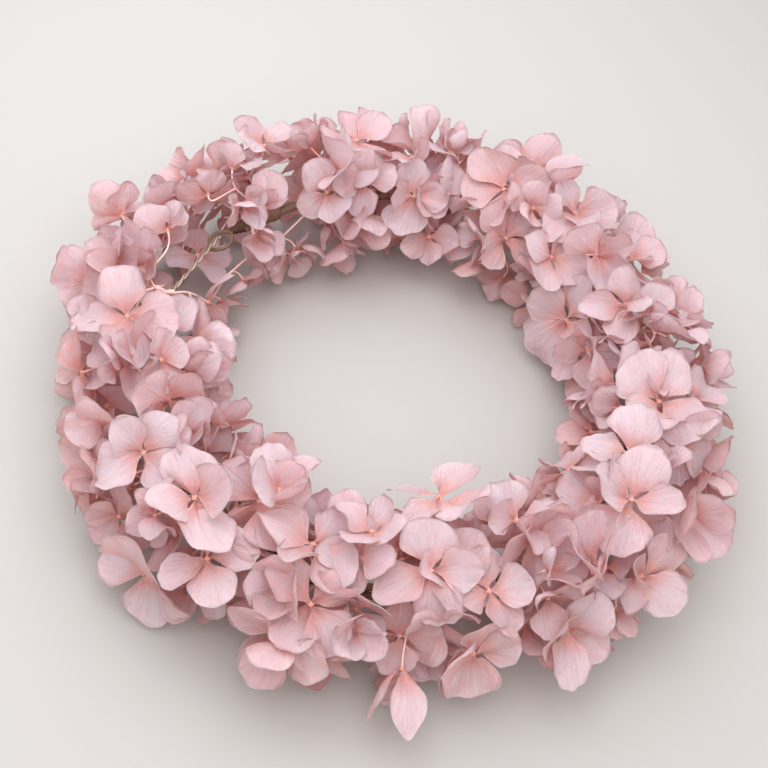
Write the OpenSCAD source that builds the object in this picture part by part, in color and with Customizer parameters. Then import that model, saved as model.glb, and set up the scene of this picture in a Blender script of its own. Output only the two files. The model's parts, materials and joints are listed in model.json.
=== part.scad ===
// Flower crown: a ring of hydrangea sprigs bound to a two-strand wire frame that closes
// with a hook and eye. +Z is up, the origin is the middle of the head opening on the table,
// and the clasp is at the back, on +Y. Millimetres and degrees.

/* [Frame] */
// Radius of the wire ring, to the middle of the two strands
ring_r = 87; // [78:1:98]
// Height of the wire ring above the table
ring_z = 25; // [22:1:28]
// Radius of one paper-wrapped strand
strand_r = 1.3; // [1:0.1:1.8]
// Space between the two strands
strand_gap = 0.4; // [0.4:0.1:0.8]
// Gap at each place where the wire bends
bend_gap = 0.5; // [0.4:0.1:1]
// Angle that the wire bends by at each of its four bending places
bend_max = 5; // [2:0.5:6]

/* [Clasp] */
// Radius of the wrapped wire that forms the eye
eye_wire_r = 1.1; // [0.9:0.1:1.4]
// Clear length of the eye
eye_length = 9; // [8:0.5:12]
// Clear width of the eye
eye_width = 4.6; // [3.6:0.2:6]
// Distance from the middle of the head opening's back to the eye's tip
eye_tip_x = 0.6; // [0:0.2:2]
// Length of the bound neck between the eye and the strands
neck_length = 6; // [5:0.5:8]
// Radius of the bound neck where it covers the strands
neck_r = 3.1; // [3:0.1:3.6]
// Thickness of the neck's binding where it meets the eye
neck_tip_wall = 0.6; // [0.4:0.1:1]
// Radius of the bare twisted hook wire
hook_wire_r = 1.1; // [0.8:0.1:1.3]
// Length of the hook from its bending place to its leg
hook_length = 32; // [28:1:34]
// Distance from the eye's tip wire to the hook's leg, middle to middle
hook_seat = 6; // [5.5:0.1:6.2]
// Radius of the bend between the hook's arm and its leg
hook_bend = 2; // [1.5:0.1:2.5]
// How far the hook's leg reaches below the eye
hook_grip = 1.8; // [1:0.2:2.4]
// Radius of the hook's knuckle, where it bends
knuckle_r = 1.6; // [1.5:0.1:1.8]
// Length of the wrap that holds the hook to the strands
hook_wrap_length = 3; // [2.5:0.5:4]

/* [Sprigs] */
// Radius of a sprig's stem inside its wrap
stem_r = 1.2; // [1:0.1:1.4]
// Space between the stem and each strand inside their wrap
stem_gap = 0.5; // [0.4:0.1:0.8]
// Wall of the paper wrap round the strands and the stem
wrap_wall = 0.8; // [0.6:0.1:1.2]
// Length of a paper wrap, as an angle of the ring
wrap_angle = 5; // [4:0.5:6]
// Angle of the ring that a stem turns up over, past its wrap
stem_turn = 2; // [1.5:0.5:3]
// Angle of the ring that a stem's ends stand out of its wrap by, together
stem_tail = 1; // [0.6:0.2:1.6]
// Height above the strands where a sprig's stem forks
branch_lift = 9; // [8:0.5:10]
// How far each branch of the fork reaches sideways
fork_reach = 3.5; // [3:0.5:5]
// Radius of a floret's stalk
stalk_r = 0.6; // [0.5:0.1:0.9]
// Scale of all florets against the usual size
floret_scale = 1; // [0.85:0.05:1.1]
// Scale of how far the florets reach out from the wire
reach_scale = 1; // [0.9:0.05:1.1]
// How far a stalk's bud stands out of its floret
bud_height = 2; // [1:0.5:3]
// Thickness of a petal
petal_thick = 0.9; // [0.8:0.1:1.2]
// How far a petal lifts from its floret's plane in a half-open floret
petal_lift = 20; // [14:1:26]
// How much more one pair of a floret's petals lifts than the other
lift_step = 7; // [0:1:12]
// How much further open or closed than that a floret may be
lift_vary = 12; // [0:1:14]
// How far a floret may tilt from facing straight off the wire
floret_tilt = 18; // [0:1:24]
// Space between one sprig and the next
sprig_gap = 0.8; // [0.5:0.1:1.5]
// Angle between the two end sprigs, over the clasp
clasp_gap = 4; // [3:0.5:6]

/* [Hidden] */
// Running clearance between pieces that touch in one body
fit_clear = 0.12;
// Clearance between pieces that move against each other
move_clear = 0.3;
// Angle that the sprigs beside a bend are cut back by beyond what it needs
bend_spare = 0.4;
// Room between the petals and the hook's swing
swing_room = 1.2;

// Widths of the sprigs' places on the left, from the clasp to half the front sprig
SPAN_HALF = [27, 22.5, 22.5, 23, 23, 24, 24, 12];
SPAN_UNIT = (180 - clasp_gap / 2) / sum(SPAN_HALF);
MIDDLE = len(SPAN_HALF) - 1;
SPRIGS = 2 * MIDDLE + 1;
// The sprigs that the ring's four bending places come before
BENDS = [3, 5, 10, 12];

strand_off = strand_r + strand_gap / 2;
// Height of a stem above the strands' middle, where it lies in the groove between them
stem_lift = sqrt(pow(strand_r + stem_r + stem_gap, 2) - pow(strand_off, 2));
// Middle of a stem wrap's round section above the strands' middle
wrap_mid = stem_lift / 3;
wrap_r = max(norm([strand_off, wrap_mid]) + strand_r, stem_lift - wrap_mid + stem_r)
    + fit_clear + wrap_wall;
clear_r = wrap_r + move_clear;

// Clasp places, along the tangent at the back
eye_mid_x = eye_tip_x + eye_wire_r * 2 + eye_length / 2;
eye_end_x = eye_mid_x + eye_length / 2 + eye_wire_r * 2;
eye_y = sqrt(ring_r * ring_r - pow(eye_mid_x, 2));
neck_end_angle = acos((eye_end_x + neck_length) / ring_r);
leg_x = eye_tip_x + eye_wire_r + hook_seat;
// Heights of the hook's knuckle and tip above the wire, so that its arm clears the eye
knuckle_lift = 1.2;
leg_lift = eye_wire_r + hook_wire_r + 4 * move_clear;
knuckle_x = leg_x - hook_length;
knuckle_y = sqrt(ring_r * ring_r - knuckle_x * knuckle_x);
hook_angle = atan2(eye_y - knuckle_y, leg_x - knuckle_x);
arm_slope = atan2(leg_lift - knuckle_lift, hook_length);
knuckle_angle = acos(knuckle_x / ring_r);
hook_wrap_start = knuckle_angle + (knuckle_r + move_clear) / ring_r * 180 / PI;
hook_wrap_end = hook_wrap_start + hook_wrap_length / ring_r * 180 / PI;

// Outline of one petal, from the notch before it: [angle, share of the radius]
PETAL_OUTLINE = [[-45, 0.2], [-38, 0.62], [-18, 0.98], [18, 0.98], [38, 0.62]];
// The smaller pair of a floret's petals against the larger
pair_share = 0.94;
// How far the florets stray from the lists below: tube angle, reach and spin
tube_vary = 6;
reach_vary = 1.5;
spin_vary = 20;
// A floret is [place along its sprig, tube angle, reach, radius, spin]
EVEN_SPRIG = [
    [-0.26, -44, 20, 16, 10], [0.26, -36, 22, 17, 50], [-0.14, 8, 24, 19, 70],
    [0.18, 50, 23, 20, 25], [-0.20, 90, 22, 19, 60], [0.16, 134, 20, 17, 15],
    [-0.14, 186, 17, 15, 40], [0.20, 222, 17, 14, 75], [-0.26, 46, 20, 16, 35],
    [0.24, 94, 19, 15, 5]
];
ODD_SPRIG = [
    [0.24, -46, 20, 17, 30], [-0.24, -30, 22, 18, 80], [0.16, 20, 24, 19, 5],
    [-0.18, 62, 23, 20, 45], [0.16, 100, 22, 19, 85], [-0.16, 150, 19, 17, 55],
    [0.12, 200, 17, 15, 20], [0.28, 60, 19, 15, 20]
];
// Florets that stand out: [sprig, floret in its list, place along the sprig, tube angle]
STAND_OUT = [
    [3, 1, -0.24, -12], [4, 3, 0, 44], [5, 1, -0.3, -6], [5, 3, -0.16, 80],
    [5, 5, 0.02, 130], [7, 1, -0.36, 4], [10, 3, 0.36, 76], [10, 6, -0.4, 176]
];
// The two sprigs beside the clasp grow outward and leave the hook and eye clear
CLASP_SPRIG = [
    [0.26, -44, 21, 17, 10], [-0.28, -36, 22, 16, 50], [0.24, 8, 24, 18, 70],
    [-0.26, 16, 25, 17, 20], [0.28, 56, 24, 17, 35], [0.36, 106, 21, 14, 60],
    [0.34, 158, 18, 14, 25], [0.16, 214, 18, 14, 75]
];

// Reach of a sprig's place past the wire, beyond the tips of all its petals
FLORETS = concat(EVEN_SPRIG, ODD_SPRIG, CLASP_SPRIG);
place_reach = (max([for (f = FLORETS) f[2]]) + reach_vary) * reach_scale
    + max([for (f = FLORETS) f[3]]) * floret_scale;

function sum(v, i = 0) = i < len(v) ? v[i] + sum(v, i + 1) : 0;
function span(k) = SPAN_UNIT * (k < MIDDLE ? SPAN_HALF[k]
    : k > MIDDLE ? SPAN_HALF[SPRIGS - 1 - k] : 2 * SPAN_HALF[MIDDLE]);
function start_angle(k) = k == 0 ? 90 + clasp_gap / 2 : start_angle(k - 1) + span(k - 1);
function mid_angle(k) = start_angle(k) + span(k) / 2;
function bends_at(k) = len(search(k, BENDS)) > 0;
function is_clasp_sprig(k) = k == 0 || k == SPRIGS - 1;
// A number from -1 to 1 that differs from floret to floret
function vary(k, i, turn) = sin(k * 97 + i * turn);

// A point on the ring: angle round it, distance out from the wire, height above the wire
function on_ring(angle, out, up) =
    [(ring_r + out) * cos(angle), (ring_r + out) * sin(angle), ring_z + up];
// The first sprig's stem points back to the clasp, and the others' point on round the ring
function stem_side(k) = k == 0 ? -1 : 1;
function stem_angle(k) = k == 0 ? hook_wrap_end + 1
    : k == SPRIGS - 1 ? 360 + neck_end_angle - stem_turn : mid_angle(k);
function stem_point(k, back, up) = on_ring(stem_angle(k) - stem_side(k) * back, 0, up);
// The stem forks into an outer and an inner branch, which clear the strands
function fork_point(k, tube) =
    on_ring(stem_angle(k), tube < 90 ? fork_reach : -fork_reach, branch_lift);
// A floret's place along its sprig and its tube angle, from its list or where it stands out
function place_of(k, i, f) =
    concat([for (s = STAND_OUT) if (s[0] == k && s[1] == i) [s[2], s[3]]],
        [[f[0], f[1] + tube_vary * vary(k, i, 61)]])[0];
function floret_angle(k, i, f) =
    mid_angle(k) + span(k) * place_of(k, i, f)[0] * (k == SPRIGS - 1 ? -1 : 1);
function floret_tube(k, i, f) = place_of(k, i, f)[1];
function floret_reach(k, i, f) = reach_scale * (f[2] + reach_vary * vary(k, i, 37));
function floret_spin(k, i, f) = f[4] + spin_vary * vary(k, i, 23);
function floret_lift(k, i) = petal_lift + lift_vary * vary(k, i, 67);
function floret_point(k, i, f) = on_ring(floret_angle(k, i, f),
    floret_reach(k, i, f) * cos(floret_tube(k, i, f)),
    floret_reach(k, i, f) * sin(floret_tube(k, i, f)));
function bud_point(k, i, f) = let (p = floret_point(k, i, f), b = fork_point(k, f[1]))
    p + (p - b) / norm(p - b) * bud_height;
function florets(k) = is_clasp_sprig(k) ? CLASP_SPRIG : k % 2 == 0 ? EVEN_SPRIG : ODD_SPRIG;

SPRIG_NAMES = [for (k = [0:SPRIGS - 1]) str("sprig_", k + 1)];
WRAP_NAMES = [for (k = [0:SPRIGS - 1]) str("stem_wrap_", k + 1)];
FRAME_NAMES = ["left_back", "left_side", "front", "right_side", "right_back"];
OUTER_NAMES = [for (n = FRAME_NAMES) str("outer_strand_", n)];
INNER_NAMES = [for (n = FRAME_NAMES) str("inner_strand_", n)];
CLASP_NAMES = ["eye_loop", "eye_neck", "hook", "hook_wrap"];

// Angles where the frame's five lengths start and end
half_bend = bend_gap / 2 / ring_r * 180 / PI;
FRAME_STARTS = concat(hook_wrap_start, [for (k = BENDS) start_angle(k) + half_bend]);
FRAME_STOPS = concat([for (k = BENDS) start_angle(k) - half_bend], 360 + neck_end_angle);

module rod(from, to, r, sides = 5) {
    d = to - from;
    translate(from)
        rotate([0, acos(d[2] / norm(d)), atan2(d[1], d[0])])
            cylinder(h = norm(d), r = r, $fn = sides);
}

// One length of a strand, as an arc of the ring
module strand(start, stop, offset) {
    color("tan")
        translate([0, 0, ring_z])
            rotate([0, 0, start])
                rotate_extrude(angle = stop - start, $fn = 120)
                    translate([ring_r + offset, 0])
                        circle(r = strand_r, $fn = 24);
}

// A floret is one closed shell: four broad petals on a square middle, two lifted more
module floret(radius, first_lift) {
    per = len(PETAL_OUTLINE);
    n = 4 * per;
    rim = [
        for (q = [0:3]) for (p = PETAL_OUTLINE)
            let (r = radius * p[1] * (q % 2 == 0 ? 1 : pair_share),
                lift = first_lift + (q % 2) * lift_step,
                a = 90 * q + p[0])
            r * [cos(lift) * cos(a), cos(lift) * sin(a), sin(lift)]
    ];
    // Four corners of each strip of a petal, between one side of it and the other
    strips = [
        for (q = [0:3]) for (i = [0:per / 2 - 1])
            [q * per + i, q * per + i + 1, q * per + per - i - 1, (q * per + per - i) % n]
    ];
    middle = [for (q = [0:3]) q * per];
    polyhedron(
        points = concat(rim, [for (p = rim) p - [0, 0, petal_thick]]),
        faces = concat(
            [for (t = concat([middle], strips))
                each [[t[2], t[1], t[0]], [t[3], t[2], t[0]]]],
            [for (t = concat([middle], strips))
                each [[n + t[0], n + t[1], n + t[2]], [n + t[0], n + t[2], n + t[3]]]],
            [for (i = [0:n - 1]) let (j = (i + 1) % n)
                each [[i, j, n + j], [i, n + j, n + i]]]
        )
    );
}

module placed_floret(k, i, f) {
    translate(floret_point(k, i, f))
        rotate([0, 0, floret_angle(k, i, f)])
            rotate([0, 90 - floret_tube(k, i, f) + floret_tilt * vary(k, i, 41), 0])
                rotate([floret_tilt * vary(k, i, 53), 0, 0])
                    rotate([0, 0, floret_spin(k, i, f)])
                        floret(f[3] * floret_scale, floret_lift(k, i));
}

// The place of one sprig: a wedge of the ring, cut back outside the wire where it bends
module sprig_place(k) {
    near = ring_r - place_reach;
    far = ring_r + place_reach;
    crest = far / cos(span(k) / 2);
    linear_extrude(height = ring_z + place_reach)
        polygon([
            edge_point(k, 1, near), edge_point(k, 1, ring_r), edge_point(k, 1, far),
            crest * [cos(mid_angle(k)), sin(mid_angle(k))],
            edge_point(k + 1, -1, far), edge_point(k + 1, -1, ring_r),
            edge_point(k + 1, -1, near)
        ]);
}

function edge_room(k, r) = sprig_gap / 2
    + (bends_at(k) ? max(0, r - ring_r) * tan(bend_max / 2 + bend_spare) : 0);
function edge_point(k, side, r) = let (a = start_angle(k), g = side * edge_room(k, r))
    [r * cos(a) - g * sin(a), r * sin(a) + g * cos(a)];

// Keeps the petals off the wire and its wraps
module wire_room() {
    translate([0, 0, ring_z + wrap_mid])
        rotate_extrude($fn = 72)
            translate([ring_r, 0])
                circle(r = clear_r, $fn = 12);
}

// Keeps the petals out of the hook's swing and off the eye
module clasp_room() {
    side = hook_wire_r + swing_room;
    behind = knuckle_r + swing_room;
    eye_side = eye_width / 2 + eye_wire_r * 2 + swing_room / 2;
    eye_deep = eye_wire_r * 3;
    translate([knuckle_x, knuckle_y, ring_z - hook_grip - eye_deep])
        rotate([0, 0, hook_angle])
            translate([-behind, -side, 0])
                cube([behind + hook_length + swing_room * 2, side * 2, place_reach]);
    translate([eye_tip_x - swing_room, eye_y - eye_side, ring_z - eye_deep])
        cube([eye_end_x - eye_tip_x + swing_room, eye_side * 2, eye_deep + leg_lift * 2]);
}

module limb(from, to, r) {
    hull() {
        translate(from)
            sphere(r = r, $fn = 6);
        translate(to)
            sphere(r = r, $fn = 6);
    }
}

// A stem lies on the strands under its wrap, turns up past the wrap's end and forks
module sprig_stem(k) {
    step = (wrap_angle + stem_tail) / 2;
    fork = stem_point(k, 0, branch_lift - stem_r);
    for (back = [stem_turn, stem_turn + step])
        rod(stem_point(k, back + step, stem_lift), stem_point(k, back, stem_lift), stem_r, 8);
    limb(stem_point(k, stem_turn, stem_lift), fork, stem_r);
    for (tube = [0, 180])
        limb(fork, fork_point(k, tube), stem_r);
}

module stalk(k, i, f) {
    hull() {
        translate(fork_point(k, f[1]))
            cylinder(h = stalk_r, r = stalk_r, $fn = 3);
        translate(bud_point(k, i, f))
            cylinder(h = stalk_r, r = stalk_r, $fn = 3);
    }
}

module sprig(k) {
    places = florets(k);
    color("pink") {
        intersection() {
            difference() {
                for (i = [0:len(places) - 1]) {
                    placed_floret(k, i, places[i]);
                    stalk(k, i, places[i]);
                }
                wire_room();
                if (is_clasp_sprig(k))
                    clasp_room();
            }
            sprig_place(k);
        }
        sprig_stem(k);
    }
}

// Paper wrap round both strands and one stem
module stem_wrap(k) {
    wrap_back = stem_side(k) * (stem_turn + stem_tail / 2);
    color("rosybrown")
        translate([0, 0, ring_z])
            rotate([0, 0, stem_angle(k) - wrap_back - (stem_side(k) > 0 ? wrap_angle : 0)])
                rotate_extrude(angle = wrap_angle, $fn = 120)
                    translate([ring_r, 0])
                        difference() {
                            translate([0, wrap_mid])
                                circle(r = wrap_r, $fn = 32);
                            for (s = [-1, 1])
                                translate([s * strand_off, 0])
                                    circle(r = strand_r + fit_clear, $fn = 24);
                            translate([0, stem_lift])
                                circle(r = stem_r + fit_clear, $fn = 24);
                        }
}

// Wire eye at the end of the right back length: a long loop with round ends, along X
module eye_loop() {
    bend_r = eye_width / 2 + eye_wire_r;
    straight = eye_length - eye_width;
    color("rosybrown")
        translate([eye_mid_x, eye_y, ring_z]) {
            for (s = [-1, 1]) {
                translate([s * straight / 2, 0, 0])
                    rotate([0, 0, -90 * s])
                        rotate_extrude(angle = 180, $fn = 48)
                            translate([bend_r, 0])
                                circle(r = eye_wire_r, $fn = 24);
                translate([-straight / 2, s * bend_r, 0])
                    rotate([0, 90, 0])
                        cylinder(h = straight, r = eye_wire_r, $fn = 24);
            }
        }
}

// Bound neck that tapers from the two strands to the eye
module eye_neck() {
    wide = [ring_r * cos(neck_end_angle), ring_r * sin(neck_end_angle), ring_z];
    narrow = [eye_end_x, eye_y, ring_z];
    d = narrow - wide;
    color("saddlebrown")
        translate(wide)
            rotate([0, 90, atan2(d[1], d[0])])
                translate([0, 0, move_clear])
                    cylinder(h = norm(d) - move_clear * 2, r1 = neck_r,
                        r2 = eye_wire_r + neck_tip_wall, $fn = 32);
}

// Bare twisted wire: a knuckle where it bends, an arm over the eye and a leg down into it
module hook() {
    arm = hook_length - hook_bend;
    leg = (leg_lift + eye_wire_r + hook_grip) - hook_bend;
    color("silver")
        translate([knuckle_x, knuckle_y, ring_z + knuckle_lift])
            rotate([0, -arm_slope, hook_angle]) {
                sphere(r = knuckle_r, $fn = 32);
                rotate([0, 90, 0])
                    cylinder(h = arm, r = hook_wire_r, $fn = 24);
                translate([arm, 0, -hook_bend])
                    rotate([90, 0, 0])
                        rotate_extrude(angle = 90, $fn = 48)
                            translate([hook_bend, 0])
                                circle(r = hook_wire_r, $fn = 24);
                translate([hook_length, 0, -hook_bend - leg])
                    cylinder(h = leg, r = hook_wire_r, $fn = 24);
            }
}

// Wrap that binds the hook's end to the strands
module hook_wrap() {
    color("rosybrown")
        translate([0, 0, ring_z])
            rotate([0, 0, hook_wrap_start])
                rotate_extrude(angle = hook_wrap_end - hook_wrap_start, $fn = 120)
                    translate([ring_r, 0])
                        difference() {
                            circle(r = strand_off + strand_r + fit_clear + wrap_wall,
                                $fn = 32);
                            for (s = [-1, 1])
                                translate([s * strand_off, 0])
                                    circle(r = strand_r + fit_clear, $fn = 24);
                        }
}

for (k = [0:SPRIGS - 1]) {
    sprig(k);
    stem_wrap(k);
}
for (k = [0:len(FRAME_NAMES) - 1]) {
    strand(FRAME_STARTS[k], FRAME_STOPS[k], strand_off);
    strand(FRAME_STARTS[k], FRAME_STOPS[k], -strand_off);
}
eye_loop();
eye_neck();
hook();
hook_wrap();
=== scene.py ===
# Looks of the flower crown: sprigs of four-petalled florets round a paper-wrapped wire ring that
# closes with a bare twisted hook and a wrapped eye. Metres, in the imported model's own frame.
import json
import math
import random
from collections import namedtuple

import bpy
import numpy as np
from mathutils import Matrix, Vector
from mathutils.bvhtree import BVHTree


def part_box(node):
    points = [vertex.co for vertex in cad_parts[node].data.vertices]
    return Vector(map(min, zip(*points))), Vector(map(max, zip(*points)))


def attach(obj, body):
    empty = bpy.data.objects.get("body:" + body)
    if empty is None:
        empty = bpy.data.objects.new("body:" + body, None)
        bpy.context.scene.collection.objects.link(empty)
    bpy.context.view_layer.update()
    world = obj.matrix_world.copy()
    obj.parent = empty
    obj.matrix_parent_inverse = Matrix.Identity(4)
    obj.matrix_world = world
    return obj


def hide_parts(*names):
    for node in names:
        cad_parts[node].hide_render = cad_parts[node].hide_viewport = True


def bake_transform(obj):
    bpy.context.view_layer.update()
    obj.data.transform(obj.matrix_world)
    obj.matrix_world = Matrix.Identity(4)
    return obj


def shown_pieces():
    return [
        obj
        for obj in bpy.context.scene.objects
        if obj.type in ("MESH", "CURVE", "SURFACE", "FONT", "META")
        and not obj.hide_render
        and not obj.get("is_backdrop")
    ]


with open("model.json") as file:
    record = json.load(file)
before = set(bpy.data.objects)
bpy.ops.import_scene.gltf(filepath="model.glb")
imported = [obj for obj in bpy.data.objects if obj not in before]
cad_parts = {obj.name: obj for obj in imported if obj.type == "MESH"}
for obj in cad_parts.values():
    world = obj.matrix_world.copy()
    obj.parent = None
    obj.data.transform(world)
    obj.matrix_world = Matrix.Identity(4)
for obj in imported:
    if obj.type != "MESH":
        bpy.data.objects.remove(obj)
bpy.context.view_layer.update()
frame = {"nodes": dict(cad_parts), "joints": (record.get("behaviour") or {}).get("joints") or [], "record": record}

MM = 0.001
UP = Vector((0, 0, 1))

# ---------------------------------------------------------------- image points

# The photograph's frame, and places in it
FRAME_SIDE = 768
EDGES = {"left": 50, "right": 738, "top": 104, "bottom": 741}
FLORET_POINTS = {
    "low_middle": (431, 571),
    "front_middle": (437, 498),
    "low_left": (311, 604),
    "right_big": (631, 500),
    "left_low": (208, 558),
    "left_pale": (146, 574),
    "left_round": (144, 453),
    "upper_right": (568, 320),
    "hanging": (402, 667),
    "by_clasp": (197, 255),
    "right_low": (640, 575),
    "top_right": (575, 214),
    "left_small": (128, 317),
}

# ---------------------------------------------------------------- camera

LENS = 58.6
SENSOR = 36.0
CAMERA_ANGLE = 204.5
CAMERA_RISE = 53.15
CAMERA_ROLL = 12.64
CAMERA_DISTANCE = 438.7 * MM
CAMERA_AIM = Vector((-8.35, 0.8, 26.3)) * MM
SHIFT_X = 0.0
SHIFT_Y = 0.0


def direction(turn, rise):
    """Direction at an angle round the vertical and an angle above the level."""
    turn, rise = math.radians(turn), math.radians(rise)
    return Vector((math.cos(rise) * math.cos(turn), math.cos(rise) * math.sin(turn), math.sin(rise)))


def camera_matrix():
    """The camera's place and axes, from the angles that the image points settle."""
    back = direction(CAMERA_ANGLE, CAMERA_RISE)
    right = UP.cross(back).normalized()
    up = back.cross(right)
    level = Matrix((right, up, back)).transposed().to_4x4()
    roll = Matrix.Rotation(math.radians(CAMERA_ROLL), 4, "Z")
    return Matrix.Translation(CAMERA_AIM + back * CAMERA_DISTANCE) @ level @ roll


CAMERA = camera_matrix()
EYE_PLACE = CAMERA.translation
TO_CAMERA = CAMERA.inverted()
FOCAL = FRAME_SIDE * LENS / SENSOR
# The direction that shows as straight to the right
SEEN_RIGHT = CAMERA.to_3x3() @ Vector((1, 0, 0))


def add_object(name, data):
    """Makes an object of some data and links it to the scene."""
    made = bpy.data.objects.new(name, data)
    bpy.context.scene.collection.objects.link(made)
    return made


def make_camera():
    """Adds the camera and makes it the scene's."""
    data = bpy.data.cameras.new("camera")
    data.lens = LENS
    data.sensor_width = SENSOR
    data.sensor_fit = "AUTO"
    data.shift_x = SHIFT_X
    data.shift_y = SHIFT_Y
    data.clip_start = 10 * MM
    data.clip_end = 20.0
    camera = add_object("camera", data)
    camera.matrix_world = CAMERA
    bpy.context.scene.camera = camera


def ray(point):
    """Direction of the ray from the camera through an image point."""
    x = point[0] - FRAME_SIDE / 2 + SHIFT_X * FRAME_SIDE
    y = FRAME_SIDE / 2 - point[1] + SHIFT_Y * FRAME_SIDE
    return (CAMERA.to_3x3() @ Vector((x, y, -FOCAL))).normalized()


def meet(tree, point):
    """Where the ray through an image point meets the tree; a miss takes the place nearest the ray."""
    direction = ray(point)
    hit = tree.ray_cast(EYE_PLACE, direction)
    if hit[0] is not None:
        return hit[0], hit[1]
    steps = (EYE_PLACE + direction * (CAMERA_DISTANCE * (0.5 + i / 200)) for i in range(201))
    nearest = min((tree.find_nearest(p) for p in steps), key=lambda found: found[3])
    return nearest[0], nearest[1]


def seen_at(place):
    """The image point where a place in the scene shows."""
    p = TO_CAMERA @ Vector(place)
    x = FRAME_SIDE / 2 - SHIFT_X * FRAME_SIDE - p.x / p.z * FOCAL
    y = FRAME_SIDE / 2 + SHIFT_Y * FRAME_SIDE + p.y / p.z * FOCAL
    return x, y


# ---------------------------------------------------------------- places on the ring

JOINTS = {j["name"]: j for j in frame["joints"]}
RING_R = math.hypot(*JOINTS["right_front_bend"]["pos_m"][:2])
RING_Z = JOINTS["right_front_bend"]["pos_m"][2]
BODIES = frame["record"]["behaviour"]["bodies"]
BODY_OF = {node: body for body, nodes in BODIES.items() for node in nodes}
SPRIGS = 15
# The bending places, each with the bodies before and after it going round the ring
BENDS = [
    ("left_back_bend", "left_back", "left_side"),
    ("left_front_bend", "left_side", "front"),
    ("right_front_bend", "front", "right_side"),
    ("right_back_bend", "right_side", "right_back"),
]
# Distance to each side of a bending place at which a crossing piece's span is reckoned
BEND_REACH = 20 * MM
# The ring's angles run on from just past the clasp at the back, so that none wraps round
FIRST_ANGLE = 75.0


def ring_angle(place):
    """Angle of a place round the ring, in degrees from FIRST_ANGLE to a full turn more."""
    return (math.degrees(math.atan2(place[1], place[0])) - FIRST_ANGLE) % 360 + FIRST_ANGLE


def on_ring(angle, out=0.0, up=0.0):
    """A place from its angle round the ring, how far out from the wire and how far above it."""
    a = math.radians(angle)
    return Vector(((RING_R + out) * math.cos(a), (RING_R + out) * math.sin(a), RING_Z + up))


def ring_axes(angle):
    """Outward and onward directions of the ring at an angle."""
    a = math.radians(angle)
    return Vector((math.cos(a), math.sin(a), 0)), Vector((-math.sin(a), math.cos(a), 0))


def node_angle(node):
    """Ring angle of the middle of a CAD node's box."""
    low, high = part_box(node)
    return ring_angle((low + high) / 2)


def bend_angle(joint):
    """Ring angle of a bending place."""
    return ring_angle(JOINTS[joint]["pos_m"])


def ride_or_blend(piece, body, angle_from, angle_to):
    """Rides on its body; a piece that reaches across a bending place only has its transform baked into it and
    rides on no body.
    """
    for joint, before, after in BENDS:
        bend = bend_angle(joint)
        if angle_from < bend < angle_to:
            _, onward = ring_axes(bend)
            place = Vector(JOINTS[joint]["pos_m"])
            start, end = place - onward * BEND_REACH, place + onward * BEND_REACH
            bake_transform(piece)
            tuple(start)
            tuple(end)
            return
    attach(piece, body)


# ---------------------------------------------------------------- shader and mesh helpers

# Length of a tube that its second surface coordinate counts as one
TUBE_UNIT = 10 * MM


class Shader:
    """The nodes of a material or of the world, each added with its inputs in one call."""

    def __init__(self, name, kind="Material"):
        self.kind = kind
        self.owner = (bpy.data.worlds if kind == "World" else bpy.data.materials).new(name)
        self.owner.use_nodes = True
        self.tree = self.owner.node_tree
        self.tree.nodes.clear()

    def add(self, kind, inputs=None, **settings):
        node = self.tree.nodes.new("ShaderNode" + kind)
        for key, value in settings.items():
            setattr(node, key, value)
        for key, value in (inputs or {}).items():
            if isinstance(value, bpy.types.NodeSocket):
                self.tree.links.new(value, node.inputs[key])
            else:
                node.inputs[key].default_value = value
        return node

    def math(self, operation, a, b=0.0, clamp=False):
        return self.add("Math", {0: a, 1: b}, operation=operation, use_clamp=clamp).outputs[0]

    def plus(self, a, b, clamp=False):
        return self.math("ADD", a, b, clamp)

    def times(self, a, b):
        return self.math("MULTIPLY", a, b)

    def mix(self, share, a, b):
        return self.add("Mix", {0: share, 6: a, 7: b}, data_type="RGBA").outputs[2]

    def spread(self, value, low, high, to_low=0.0, to_high=1.0):
        """Maps low..high of a value to to_low..to_high smoothly, and clamps it."""
        inputs = {"Value": value, "From Min": low, "From Max": high, "To Min": to_low, "To Max": to_high}
        return self.add("MapRange", inputs, interpolation_type="SMOOTHSTEP").outputs[0]

    def place(self):
        """The two surface coordinates of a Pile's points."""
        return self.add("SeparateXYZ", {0: self.add("UVMap", uv_map="place").outputs[0]}).outputs

    def paint(self):
        """The first three of the four numbers that a Pile's points carry, and the fourth."""
        paint = self.add("VertexColor", layer_name="paint").outputs
        return self.add("SeparateColor", {0: paint["Color"]}).outputs, paint["Alpha"]

    def at(self, x, y, z=0.0):
        return self.add("CombineXYZ", {0: x, 1: y, 2: z}).outputs[0]

    def noise(self, vector, scale, detail=2.0, roughness=0.5):
        inputs = {"Vector": vector, "Scale": scale, "Detail": detail, "Roughness": roughness}
        return self.add("TexNoise", inputs).outputs["Fac"]

    def bump(self, height, distance, strength=1.0):
        inputs = {"Height": height, "Distance": distance, "Strength": strength}
        return self.add("Bump", inputs).outputs["Normal"]

    def principled(self, colour, roughness, normal, **more):
        """The common surface shader; a key in more is an input's name with _ for each space."""
        inputs = {"Base Color": colour, "Roughness": roughness, "Normal": normal}
        inputs.update({key.replace("_", " "): value for key, value in more.items()})
        return self.add("BsdfPrincipled", inputs).outputs[0]

    def in_view(self):
        """1 for what shows, straight, in gloss or through glass, and 0 for what only lights."""
        rays = self.add("LightPath").outputs
        shown = self.math("MAXIMUM", rays["Is Camera Ray"], rays["Is Glossy Ray"])
        return self.math("MAXIMUM", shown, rays["Is Transmission Ray"])

    def finish(self, surface):
        output = self.tree.nodes.new("ShaderNodeOutput" + self.kind)
        self.tree.links.new(surface, output.inputs["Surface"])
        return self.owner


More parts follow.
